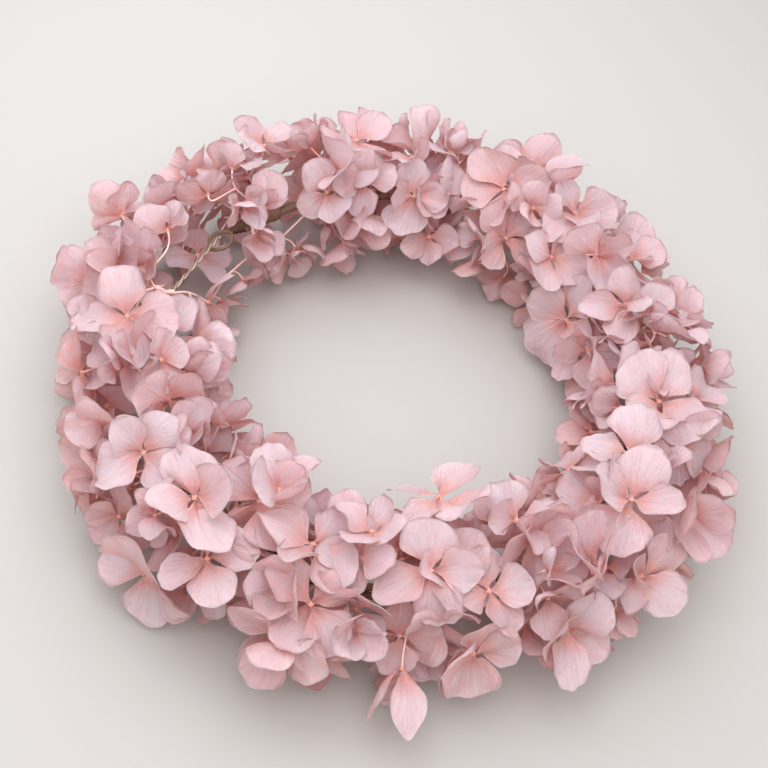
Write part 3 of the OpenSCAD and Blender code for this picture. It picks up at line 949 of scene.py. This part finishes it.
def part_places(sprig):
    """The places of the florets of the part's own sprig."""
    first, last = SPANS[sprig]
    rows = CLASP_SPRIG if sprig in (1, SPRIGS) else EVEN_SPRIG if sprig % 2 else ODD_SPRIG
    for i, (along, tube_angle, reach, radius, spin) in enumerate(rows):

        def vary(turn):
            return math.sin(math.radians((sprig - 1) * 97 + i * turn))

        along, tube_angle = STAND_OUT.get((sprig, i), (along, tube_angle + TUBE_VARY * vary(61)))
        angle = (first + last) / 2 + along * (last - first) * (-1 if sprig == SPRIGS else 1)
        outward, onward = ring_axes(angle)
        turn = math.radians(90 - tube_angle)
        off = outward * math.sin(turn) + UP * math.cos(turn)
        place = on_ring(angle) + off * (reach + REACH_VARY * vary(37)) * MM
        tilted = turn + math.radians(TILT_VARY * vary(41))
        lean = math.radians(TILT_VARY * vary(53))
        reference = outward * math.cos(tilted) - UP * math.sin(tilted)
        normal = outward * math.sin(tilted) + UP * math.cos(tilted)
        normal = normal * math.cos(lean) - onward * math.sin(lean)
        rise = PETAL_LIFT + LIFT_VARY * vary(67)
        spin = spin + SPIN_VARY * vary(23)
        yield PartPlace(sprig, place, normal, reference, radius * MM, spin, rise, angle, tube_angle)


def in_window(angle, tube_angle):
    """Whether a place is over the wire that is left open."""
    return any(a < angle < b and low < tube_angle < high for a, b, low, high in WINDOWS)


def over_clasp(angle, tube_angle):
    """Whether a place is over the clasp or the bare wire beside it, which the photograph shows."""
    past = (angle - FIRST_ANGLE + 180) % 360 - 180
    return CLASP_RING[0] < past < CLASP_RING[1] and CLASP_TUBE[0] < tube_angle < CLASP_TUBE[1]


# ---------------------------------------------------------------- the hook's and the eye's room

HOOK_FOOT = Vector(JOINTS["hook_lift"]["pos_m"])
HOOK_AXIS = Vector(JOINTS["hook_lift"]["axis"]).normalized()
HOOK_HEADING = HOOK_AXIS.cross(-UP).normalized()
HOOK_POINTS = [Vector(v.co) - HOOK_FOOT for v in frame["nodes"]["hook"].data.vertices]
HOOK_REACH = max(p.dot(HOOK_HEADING) for p in HOOK_POINTS)
HOOK_TOP = max(p.z for p in HOOK_POINTS)
HOOK_LOW = min(p.z for p in HOOK_POINTS)
# Top of the hook's bend over the eye
HOOK_END = HOOK_FOOT + HOOK_HEADING * HOOK_REACH + UP * HOOK_TOP
# The slot that the hook swings up in: half its width, and how far it goes behind and below the
# foot and ahead of the hook's end
SLOT_SIDE, SLOT_BACK, SLOT_AHEAD = 3.2 * MM, 4 * MM, 12 * MM


def eye_places():
    """Places along the middle of the eye and its neck."""
    low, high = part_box("eye_loop")
    near = Vector((low.x, (low.y + high.y) / 2, RING_Z))
    far = Vector((high.x, near.y, RING_Z))
    end = neck_end()
    return [near.lerp(far, i / 4) for i in range(1, 5)] + [far.lerp(end, i / 3) for i in (1, 2)]


def neck_end():
    """Where the eye's neck ends on the ring."""
    low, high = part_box("eye_neck")
    return on_ring(ring_angle((high.x, low.y, 0)))


def clasp_intrusion(points):
    """How many points lie in the upright slot that the hook swings up in."""
    local = points - np.array(HOOK_FOOT)
    along = local @ np.array(HOOK_HEADING)
    aside = np.abs(local @ np.array(HOOK_AXIS))
    slot = (along > -SLOT_BACK) & (along < HOOK_REACH + SLOT_AHEAD) & (aside < SLOT_SIDE)
    return int((slot & (local[:, 2] > -SLOT_BACK)).sum())


# ---------------------------------------------------------------- arranging the florets

# What each fault of a floret costs. A face that cuts a neighbour costs 1.
CLASP_COST = 40.0
EDGE_COST = 12.0
MOVE_COST = 4 / MM
# What is worth keeping in view: the clasp, the wire, a floret's middle and its petals
CLASP_WORTH, WIRE_WORTH, MIDDLE_WORTH, PETAL_WORTH = 200, 30, 150, 12
# What hiding one of the bare places below is worth
COVER_WORTH = 14
# A floret that would cost more than this is left out, of the part's own and of the smaller ones
DROP_COST = 170
FILL_COST = 75
# Farther than this, neighbours and sights are out of a floret's way
NEIGHBOUR_RANGE = 45 * MM
SIGHT_REACH = 26 * MM
# How close before a place a floret has to be to count as touching it and not as hiding it
SIGHT_ROOM = 2 * MM
# Stretches of the wire that show, as ring angles
WIRE_SHOWS = [(FIRST_ANGLE + 349, FIRST_ANGLE + 359), (FIRST_ANGLE + 322, FIRST_ANGLE + 327)]
# Places round the wire that florets should hide, at these heights above it in millimetres, and
# how far out from the wire and up an eye is that looks at it from outside
COVERS = 180
COVER_HEIGHTS = (0, 8)
OUTSIDE = (300 * MM, 110 * MM)
# Places about each sprig's fork that florets should hide: out and up from the wire, in millimetres
FORK_COVERS = [(-8, 9), (0, 13), (8, 13), (13, 9)]
# Angles of the ring from a sprig's wrap on to its fork, and back to its stem's end
FORK_AHEAD = 5.0
STEM_BACK = 4.0


class Arrangement:
    """All florets so far, with the petals that a new one has to keep clear of."""

    def __init__(self):
        self.florets = {k: [] for k in SPANS}
        self.centres = []
        self.proxies = []
        # Places to be seen from the camera, each with its worth
        self.sights = [(HOOK_FOOT.lerp(HOOK_END, i / 6), CLASP_WORTH) for i in range(7)]
        self.sights += [(place, CLASP_WORTH) for place in eye_places()]
        for start, stop in WIRE_SHOWS:
            self.sights += [(on_ring(start + (stop - start) * i / 5), WIRE_WORTH) for i in range(6)]
        # Places to be hidden, each with the eye to hide it from
        self.bare = []
        for i in range(COVERS):
            angle = FIRST_ANGLE + 360 * i / COVERS
            if not any(start - 2 < angle < stop + 2 for start, stop in WIRE_SHOWS):
                self.bare += [(on_ring(angle, 0, up * MM), EYE_PLACE) for up in COVER_HEIGHTS]
            self.bare.append((on_ring(angle), on_ring(angle, *OUTSIDE)))
        for k in SPANS:
            self.bare += [(on_ring(fork_angle(k), out * MM, up * MM), EYE_PLACE) for out, up in FORK_COVERS]

    def nearest(self, place):
        """Distance from a place to the nearest floret's middle."""
        return min(((place - c).length for c in self.centres), default=1.0)

    def clashes(self, tree, middle):
        """How many faces of a new floret cut those of its neighbours."""
        near = [other for other, place in self.proxies if (place - middle).length < NEIGHBOUR_RANGE]
        return sum(len(tree.overlap(other)) for other in near)

    def add(self, sprig, floret):
        """Adds a floret, and drops the bare places that it hides."""
        _, tree, middle = floret.proxy()
        self.proxies.append((tree, middle))
        self.centres.append(Vector(floret.centre))
        self.florets[sprig].append(floret)
        self.bare = [bare for bare in self.bare if not hides(tree, middle, *bare)]

    def hidden_worth(self, tree, middle):
        """Worth of the sights that a floret would hide, less that of the bare places it would hide."""
        lost = sum(worth for sight, worth in self.sights if hides(tree, middle, sight, EYE_PLACE))
        return lost - COVER_WORTH * sum(1 for place, eye in self.bare if hides(tree, middle, place, eye))

    def cost(self, floret, moved):
        """How badly a floret cuts its neighbours, fills the clasp's room or hides what shows."""
        points, tree, middle = floret.proxy()
        cost = self.clashes(tree, middle) + CLASP_COST * clasp_intrusion(points)
        cost += self.hidden_worth(tree, middle) + EDGE_COST * beyond_edges(points)
        return cost + moved * MOVE_COST

    def add_best(self, sprig, options, limit=math.inf):
        """Adds the cheapest of several florets, given with how far each was moved, if it is cheap enough."""
        costs = [self.cost(*option) for option in options]
        if min(costs) < limit:
            self.add(sprig, options[costs.index(min(costs))][0])


def fork_angle(sprig):
    """Ring angle of a sprig's fork; the one next to the hook grows the other way."""
    return node_angle(f"stem_wrap_{sprig}") + (-FORK_AHEAD if sprig == 1 else FORK_AHEAD)


def hides(tree, middle, place, eye):
    """Whether a floret with its middle there lies between a place and an eye that looks at it."""
    way = place - eye
    along = way.normalized()
    to_middle = middle - eye
    if (to_middle - along * to_middle.dot(along)).length > SIGHT_REACH:
        return False
    return tree.ray_cast(eye, along, way.length - SIGHT_ROOM)[0] is not None


def beyond_edges(points):
    """How far a floret shows past the object's edges in the photograph's frame."""
    x, y = np.array([seen_at(p) for p in points]).T
    past_side = max(EDGES["left"] - x.min(), x.max() - EDGES["right"])
    past_end = max(EDGES["top"] - y.min(), y.max() - EDGES["bottom"])
    return max(0, past_side, past_end)


def random_vector(rng, spread):
    """A vector whose three parts are drawn with the same spread about zero."""
    return Vector([rng.gauss(0, spread) for _ in range(3)])


def tones(rng, tube_angle):
    """Coral and cool tone of a floret, random, with painted light by height: cooler on top as painted sky sheen,
    coral low down as painted shade.
    """
    high = math.sin(math.radians(tube_angle))
    return [min(1, max(0, mean + step * high + rng.gauss(0, spread))) for mean, step, spread in TONES]


def add_posed(arrangement, sprig, seed, place, normal, measures):
    """Adds the best of several postures of a floret at a given place, and gives it."""
    options = []
    for i in range(HERO_POSTURES):
        rng = random.Random(f"{seed} {i}")
        options.append((Floret(rng, place, normal, SEEN_RIGHT, *measures), 0.0))
    arrangement.add_best(sprig, options)
    return arrangement.florets[sprig][-1]


def hero_florets(arrangement, places):
    """Places the florets of the image points. Each takes the place of the part's floret next to it."""
    tree = bed_tree()
    for name, point in FLORET_POINTS.items():
        radius, turn, facing, rise, tone, cool = HEROES[name]
        place, off = meet(tree, point)
        off = off if off.dot(place - on_ring(ring_angle(place))) > 0 else -off
        near = min(places, key=lambda row: (row.place - place).length)
        place = place + off * STANDS_OFF.get(name, 0)
        if name in BEHIND:
            place = place + ray(point) * BEHIND[name] * MM
        else:
            places.remove(near)
        normal = off.lerp(-ray(point), facing) if facing > 0 else off - UP * -facing
        arrangement.sights.append((place + normal.normalized() * BUD_RISE * 2, MIDDLE_WORTH))
        sprig = sprig_at(ring_angle(place))
        measures = radius * MM, turn, rise, tone, cool, NARROW.get(name, 1.0)
        hero = add_posed(arrangement, sprig, name, place, normal, measures)
        hero.name = name
        for _, placed, *_ in hero.surfaces(PROXY_GRID):
            arrangement.sights.append((Vector(placed.reshape(-1, 3).mean(0)), PETAL_WORTH))


def extra_florets(arrangement):
    """Adds the florets that stand out of the bed without a middle that shows."""
    for i, (angle, tube_angle, share, radius, turn, facing, rise, tone, cool) in enumerate(EXTRAS):
        place, off = bed_place(angle, tube_angle, share)
        normal = off.lerp((EYE_PLACE - place).normalized(), facing)
        measures = radius * MM, turn, rise, tone, cool
        add_posed(arrangement, sprig_at(angle), f"extra {i}", place, normal, measures)


def part_florets(arrangement, places):
    """Fills the places of the part's other florets, each in the posture that fits best."""
    for row in places:
        rng = random.Random(1000 * row.sprig + round(row.spin * 10))
        tone, cool = tones(rng, row.tube_angle)
        rise = row.rise + (CLOSED_RISE if rng.random() < CLOSED_SHARE else 0)
        options = []
        for i in range(POSTURES):
            lean = random_vector(rng, LEAN)
            size = row.radius * rng.uniform(*SIZES)
            turn = row.spin + rng.gauss(0, SPIN_STRAY)
            move = random_vector(rng, 1) * (MOVE_STEP if i > STILL_POSTURES else 0)
            move -= row.off * (rng.uniform(0, SINK) if i % 3 == 2 else 0)
            place, off = row.place + move, row.off + lean
            floret = Floret(rng, place, off, row.reference, size, turn, rise, tone, cool)
            options.append((floret, move.length))
        arrangement.add_best(row.sprig, options, DROP_COST)


def fill_places(arrangement, sprig, share, rng):
    """The roomiest of several places on a sprig, at a share of the bed's distance from the wire."""
    start, stop = SPANS[sprig][0] + EDGE_ROOM, SPANS[sprig][1] - EDGE_ROOM
    found = []
    for _ in range(CANDIDATES):
        tube_angle = rng.uniform(*FILL_TUBE)
        gap = next((reach for limit, reach in CLASP_GAPS if tube_angle < limit), 0)
        angle = rng.uniform(start - (gap if sprig == 1 else 0), stop + (gap if sprig == SPRIGS else 0))
        if in_window(angle, tube_angle):
            continue
        place, off = bed_place(angle, tube_angle, share * rng.uniform(*FILL_DEPTHS))
        found.append((arrangement.nearest(place), place, off, angle, tube_angle))
    return sorted(found, key=lambda row: -row[0])[:ROOMIEST]


def scatter(arrangement, sprig, wanted, share, radii, rng):
    """Adds smaller florets where the sprig has most room left."""
    for _ in range(wanted):
        options = []
        for _, place, off, angle, tube_angle in fill_places(arrangement, sprig, share, rng):
            _, onward = ring_axes(angle)
            tone, cool = tones(rng, tube_angle)
            for _ in range(FILL_POSTURES):
                lean = random_vector(rng, FILL_LEAN)
                radius = rng.uniform(*radii) * MM
                rise = FILL_RISE[0] + abs(rng.gauss(*FILL_RISE[1:]))
                turn = rng.uniform(0, 90)
                options.append((Floret(rng, place, off + lean, onward, radius, turn, rise, tone, cool), 0.0))
        if options:
            arrangement.add_best(sprig, options, FILL_COST)


def arrange():
    """Places all florets: first those that the photograph fixes, then the part's, then smaller ones."""
    arrangement = Arrangement()
    places = [row for k in SPANS for row in part_places(k) if not over_clasp(row.angle, row.tube_angle)]
    hero_florets(arrangement, places)
    extra_florets(arrangement)
    part_florets(arrangement, places)
    for k in SPANS:
        rng = random.Random(200 + k)
        for wanted, share, radii in CLASP_FILLS if k in (1, SPRIGS) else FILLS:
            scatter(arrangement, k, wanted, share, radii, rng)
    return arrangement


# ---------------------------------------------------------------- sprigs

STEM_LIFT = 3.0 * MM
STEM_RADIUS = 1.15 * MM
# Height of the fork above the wire, and how far its branches reach to the sides
BRANCH_LIFT = 9 * MM
BRANCH_OUT = 3.5 * MM
# Angles of the ring by which a sprig's petals may reach past its solid's ends
BEND_MARGIN = 3.0


def dress(pile, name, material, slot, *nodes):
    """Builds a piece and hides the CAD nodes that it replaces. Its slot is not used."""
    piece = pile.build(name, MATERIALS[material])
    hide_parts(*nodes)
    return piece


def add_stem(pile, sprig):
    """Adds a sprig's stem, which comes out of its wrap and rises to a fork with two branches."""
    side = -1 if sprig == 1 else 1
    wrap_angle = node_angle(f"stem_wrap_{sprig}")
    fork = fork_angle(sprig)
    crown = on_ring(fork, 0, BRANCH_LIFT - STEM_RADIUS)
    stem = [
        on_ring(wrap_angle - side * STEM_BACK, 0, STEM_LIFT),
        on_ring(wrap_angle, 0, STEM_LIFT),
        on_ring(wrap_angle + side * (FORK_AHEAD - 1.6), 0, STEM_LIFT + 0.6 * MM),
        crown,
    ]
    path = smooth_path(stem, 6)
    from_end = np.minimum(np.arange(len(path)) + 1, len(path) - np.arange(len(path)))
    tube(pile, path, STEM_RADIUS * np.minimum(1, from_end / 4) ** 0.5, sides=10)
    for way in (1, -1):
        tip = on_ring(fork, way * BRANCH_OUT, BRANCH_LIFT + 0.6 * MM)
        branch = smooth_path([crown - UP * (2 * MM), crown, tip], 4)
        tube(pile, branch, STEM_RADIUS * 0.8, sides=8)
    return crown


def make_sprig(sprig, florets):
    """Petals, buds and stems of one sprig, each as one piece. Each stalk leaves the nearest earlier one."""
    petals, buds, stems = Pile(), Pile(), Pile()
    crown = add_stem(stems, sprig)
    for floret in florets:
        floret.add_petals(petals)
        floret.add_bud(buds)
    roots = {way: [on_ring(fork_angle(sprig), way * BRANCH_OUT, BRANCH_LIFT)] for way in (1, -1)}
    for floret in sorted(florets, key=lambda f: (Vector(f.centre) - crown).length):
        places = roots[1 if floret.outside() else -1]
        root = min(places, key=lambda place: (place - floret.under()).length)
        places.append(floret.add_stalk(stems, root))
    first, last = SPANS[sprig]
    node = f"sprig_{sprig}"
    parts = ((petals, "petals", "petal"), (buds, "buds", "bud"), (stems, "stems", "stalk"))
    for pile, part, material in parts:
        piece = dress(pile, f"{node}_{part}", material, "petal", node)
        ride_or_blend(piece, BODY_OF[node], first - BEND_MARGIN, last + BEND_MARGIN)


# ---------------------------------------------------------------- strands, wraps and clasp

# How far each strand lies from the ring's middle line, and its radius
STRAND_OFF = 1.5 * MM
STRAND_RADIUS = 1.25 * MM
WRAP_HALF_ANGLE = 2.5
HOOK_WRAP_HALF_ANGLE = 1.0
# How far inside their nodes the tapes are wound, since their laps stand up
WRAP_INSET, HOOK_WRAP_INSET = 0.25 * MM, 0.22 * MM
LAP_HEIGHT, NECK_LAP_HEIGHT = 0.22 * MM, 0.3 * MM
NECK_RADIUS = 2.6 * MM
# The real eye's wire is a little thinner than the part's, as the hook's is
EYE_THIN = 0.7
# The hook: the part's own radius, then that of its two wires, their lay, the bend and the coil
HOOK_WIRE = 1.1 * MM
HOOK_STRAND = 0.45 * MM
HOOK_PITCH = 9.0 * MM
HOOK_ELBOW = 2.0 * MM
HOOK_COIL = 1.0 * MM
COIL_WIDTH = 2.2 * MM
COIL_TURNS = 2.5


def strand_path(start, stop, which):
    """One strand's path: it crosses the other once between each wrap and the next."""
    anchors = sorted(node_angle(f"stem_wrap_{k}") for k in SPANS)
    path = []
    steps = max(8, int((stop - start) / 1.5))
    for i in range(steps + 1):
        angle = start + (stop - start) * i / steps
        passed = sum(1 for a in anchors if a <= angle)
        turns = float(passed)
        if 0 < passed < len(anchors):
            share = (angle - anchors[passed - 1]) / (anchors[passed] - anchors[passed - 1])
            turns = passed - 1 + ease(share)
        twist = math.pi * (turns + which)
        path.append(on_ring(angle, STRAND_OFF * math.cos(twist), STRAND_OFF * math.sin(twist)))
    return path


def ring_arc(middle, half_angle, steps, up=0.0):
    """Places along the ring to both sides of an angle."""
    start = middle - half_angle
    return [on_ring(start + 2 * half_angle * i / steps, 0, up) for i in range(steps + 1)]


def ridged(radius, count, sides, base, height, slant):
    """Radii of a tube with a slanting ridge wound round it: a grid of ring by side."""
    return [
        [radius * (base + height * math.sin(j / sides * 2 * math.pi + i * slant)) for j in range(sides)]
        for i in range(count)
    ]


def wound(pile, path, radii, laps, lap_height=LAP_HEIGHT, sides=20):
    """Adds a tube of wound tape: each lap stands up a little over the one before."""
    grid = []
    for i, radius in enumerate(radii):
        share = i / (len(path) - 1)
        grid.append([radius + lap_height * ((share * laps + j / sides) % 1.0) for j in range(sides)])
    tube(pile, path, grid, sides=sides)


def make_strands():
    """Both strands, in lengths that each pass over one bending place and meet mid-body."""
    first = node_angle("hook_wrap") - 1.2
    last = 360 + node_angle("eye_neck") - 0.5
    bends = [bend_angle(joint) for joint, _, _ in BENDS]
    cuts = [first] + [(a + b) / 2 for a, b in zip(bends, bends[1:])] + [last]
    for which, strand in enumerate(("outer", "inner")):
        for (joint, before, after), start, stop in zip(BENDS, cuts, cuts[1:]):
            pile = Pile()
            path = strand_path(start, stop, which)
            tube(pile, path, ridged(STRAND_RADIUS, len(path), 10, 1.0, 0.05, 1.1), sides=10)
            nodes = [f"{strand}_strand_{body}" for body in (before, after)]
            piece = dress(pile, f"{strand}_strand_{joint}", "strand", "strand", *nodes)
            ride_or_blend(piece, before, start, stop)


def make_wraps():
    """The paper tape round the strands and each sprig's stem."""
    for k in SPANS:
        node = f"stem_wrap_{k}"
        middle = node_angle(node)
        low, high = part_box(node)
        radius = (high.z - low.z) / 2 - WRAP_INSET
        path = ring_arc(middle, WRAP_HALF_ANGLE, 30, (high.z + low.z) / 2 - RING_Z)
        shares = [i / 30 for i in range(31)]
        radii = [radius * (1 - 0.16 * (2 * s - 1) ** 6 - 0.05 * math.sin(7 * s + k)) for s in shares]
        pile = Pile()
        wound(pile, path, radii, 3.2)
        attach(dress(pile, f"{node}_tape", "tape", "stem_wrap", node), BODY_OF[node])


def make_hook_wrap():
    """The paper tape that holds the hook to the strands."""
    low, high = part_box("hook_wrap")
    radius = (high.z - low.z) / 2 - HOOK_WRAP_INSET
    path = ring_arc(node_angle("hook_wrap"), HOOK_WRAP_HALF_ANGLE, 20)
    pile = Pile()
    wound(pile, path, [radius * (1 - 0.2 * (i / 10 - 1) ** 4) for i in range(21)], 3.0)
    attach(dress(pile, "hook_wrap_tape", "tape", "stem_wrap", "hook_wrap"), "left_back")


def make_eye():
    """The wrapped wire bent into a long eye, and the dark binding that holds its neck."""
    low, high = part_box("eye_loop")
    middle = (low + high) / 2
    wire = (high.z - low.z) / 2 * EYE_THIN
    half_long = (high.x - low.x) / 2 - wire
    half_wide = (high.y - low.y) / 2 - wire
    path = []
    steps = 72
    for i in range(steps):
        a = 2 * math.pi * i / steps
        wide = half_wide * math.sin(a) * abs(math.sin(a)) ** 0.8
        path.append(middle + Vector((half_long * math.cos(a), wide, 0)))
    loop = Pile()
    tube(loop, path, ridged(wire, steps, 12, 0.9, 0.10, 0.9), sides=12, closed=True)
    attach(dress(loop, "eye_wire", "eye", "eye", "eye_loop"), "right_back")

    start = Vector((high.x - wire * 1.4, middle.y, RING_Z))
    narrow = wire * 1.45
    path, radii = [], []
    for i in range(37):
        share = i / 36
        path.append(start.lerp(neck_end(), share))
        radii.append(narrow + (NECK_RADIUS - narrow) * ease(share) - 0.5 * MM * (2 * share - 1) ** 8)
    neck = Pile()
    wound(neck, path, radii, 6.0, NECK_LAP_HEIGHT)
    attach(dress(neck, "eye_neck_tape", "neck", "stem_wrap", "eye_neck"), "right_back")


def hook_path():
    """Middle line of the hook: a straight arm, the bend and a short leg down into the eye."""
    length = HOOK_REACH - HOOK_WIRE
    elbow = HOOK_FOOT + HOOK_HEADING * (length - HOOK_ELBOW) + UP * (HOOK_TOP - HOOK_WIRE)
    guide = [HOOK_FOOT.lerp(elbow, i / 4) for i in range(5)]
    for i in range(1, 5):
        a = math.pi / 2 * i / 4
        guide.append(elbow + HOOK_HEADING * HOOK_ELBOW * math.sin(a) - UP * HOOK_ELBOW * (1 - math.cos(a)))
    tip = HOOK_FOOT + HOOK_HEADING * length + UP * HOOK_LOW
    return smooth_path(guide + [guide[-1].lerp(tip, 0.5), tip], 14)


def make_hook():
    """Two thin bare wires twisted together, with a coil at the foot. Gives the hook's tip."""
    core = hook_path()
    pile = Pile()
    for which in (0, 1):
        path, run = [], 0.0
        for i, place in enumerate(core):
            run += (place - core[i - 1]).length if i else 0.0
            way = (core[min(i + 1, len(core) - 1)] - core[max(i - 1, 0)]).normalized()
            other = HOOK_AXIS.cross(way).normalized()
            a = 2 * math.pi * run / HOOK_PITCH + math.pi * which
            grip = HOOK_STRAND * 0.96
            path.append(place + (HOOK_AXIS * math.cos(a) + other * math.sin(a)) * grip)
        radius = [HOOK_STRAND * min(1.0, 0.5 + 0.25 * (len(core) - 1 - i)) for i in range(len(core))]
        tube(pile, path, radius, sides=8)
    coil = []
    for i in range(61):
        a = 2 * math.pi * COIL_TURNS * i / 60
        across = HOOK_AXIS * ((i / 60 - 0.5) * COIL_WIDTH)
        coil.append(HOOK_FOOT + across + (HOOK_HEADING * math.cos(a) + UP * math.sin(a)) * HOOK_COIL)
    tube(pile, coil, HOOK_STRAND * 0.9, sides=8)
    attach(dress(pile, "hook_wire", "wire", "hook", "hook"), "hook")
    return core[-1]


# ---------------------------------------------------------------- floor and light

FLOOR_HALF = 6.0
FLOOR_SEEN, FLOOR_LIGHTS = (0.43, 0.42, 0.41, 1), (0.52, 0.38, 0.30, 1)
AMBIENT, AMBIENT_STRENGTH = (0.98, 0.94, 0.92, 1), 1.17
BACKDROP, BACKDROP_STRENGTH = (1, 0.975, 0.95, 1), 0.50
# Lamps: name, turn, rise, distance, size, power and colour
LAMPS = [
    ("key", 62, 56, 0.42, 0.5, 1.4, (0.93, 0.97, 1.0)),
    ("over", 204, 76, 0.36, 0.3, 0.75, (0.97, 0.97, 0.99)),
    ("fill", 200, 55, 1.5, 1.4, 4, (0.97, 0.97, 1.0)),
]


def make_floor():
    """A plain pale floor that keeps the crown's shadow."""
    s = Shader("floor")
    unseen = s.add("BsdfDiffuse", {"Color": FLOOR_LIGHTS}).outputs[0]
    seen = s.add("BsdfDiffuse", {"Color": FLOOR_SEEN}).outputs[0]
    material = s.finish(s.add("MixShader", {0: s.in_view(), 1: unseen, 2: seen}).outputs[0])
    corners = [(x * FLOOR_HALF, y * FLOOR_HALF, 0) for x, y in ((-1, -1), (1, -1), (1, 1), (-1, 1))]
    mesh = bpy.data.meshes.new("floor")
    mesh.from_pydata(corners, [], [(0, 1, 2, 3)])
    mesh.materials.append(material)
    add_object("floor", mesh)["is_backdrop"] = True


def make_lamp(name, turn, rise, distance, size, power, colour):
    """A square soft lamp that faces the crown."""
    data = bpy.data.lights.new(name, "AREA")
    data.shape = "SQUARE"
    data.size = size
    data.energy = power
    data.color = colour
    lamp = add_object(name, data)
    way = direction(turn, rise)
    lamp.location = way * distance + UP * RING_Z
    lamp.rotation_euler = way.to_track_quat("Z", "Y").to_euler()


def make_world():
    """Even light from all round, and a pale backdrop that adds none."""
    s = Shader("world", "World")
    ambient = s.add("Background", {"Color": AMBIENT, "Strength": AMBIENT_STRENGTH}).outputs[0]
    backdrop = s.add("Background", {"Color": BACKDROP, "Strength": BACKDROP_STRENGTH}).outputs[0]
    mix = s.add("MixShader", {0: s.in_view(), 1: ambient, 2: backdrop})
    bpy.context.scene.world = s.finish(mix.outputs[0])


# ---------------------------------------------------------------- what shows where

# How near the first thing that a ray meets has to be to a point for that point to show
SHOWS_WITHIN = 1.5 * MM
# The hook's tip is hidden, so its point is this far above it
ABOVE_TIP = 3 * MM


def shown_middle(points):
    """Middle of those points that the camera sees, as an image point, or None."""
    depsgraph = bpy.context.evaluated_depsgraph_get()
    seen = []
    for point in points:
        way = Vector(point) - EYE_PLACE
        hit, place, *_ = bpy.context.scene.ray_cast(depsgraph, EYE_PLACE, way.normalized())
        if hit and (place - Vector(point)).length < SHOWS_WITHIN:
            seen.append(seen_at(point))
    return tuple(np.mean(seen, axis=0)) if seen else None


def write_points(arrangement, hook_tip):
    """Finds where in the image each thing shows."""
    x, y = np.array([seen_at(v.co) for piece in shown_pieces() for v in piece.data.vertices]).T
    places = {"hook_tip": [hook_tip + UP * ABOVE_TIP]}
    places["hook_arm"] = [HOOK_FOOT.lerp(HOOK_END, i / 20) for i in range(21)]
    places["eye_neck"] = [v.co for v in bpy.data.objects["eye_neck_tape"].data.vertices]
    for floret in (f for florets in arrangement.florets.values() for f in florets if f.name):
        bud = Pile()
        floret.add_bud(bud)
        places[floret.name] = bud.points[0]
    for name, points in places.items():
        at = shown_middle(points)


# ---------------------------------------------------------------- build

make_camera()
make_floor()
for lamp in LAMPS:
    make_lamp(*lamp)
make_world()
FLORETS = arrange()
for number in SPANS:
    make_sprig(number, FLORETS.florets[number])
make_strands()
make_wraps()
make_hook_wrap()
make_eye()
HOOK_TIP = make_hook()

bpy.context.scene.view_settings.view_transform = "Standard"
bpy.context.view_layer.update()
write_points(FLORETS, HOOK_TIP)
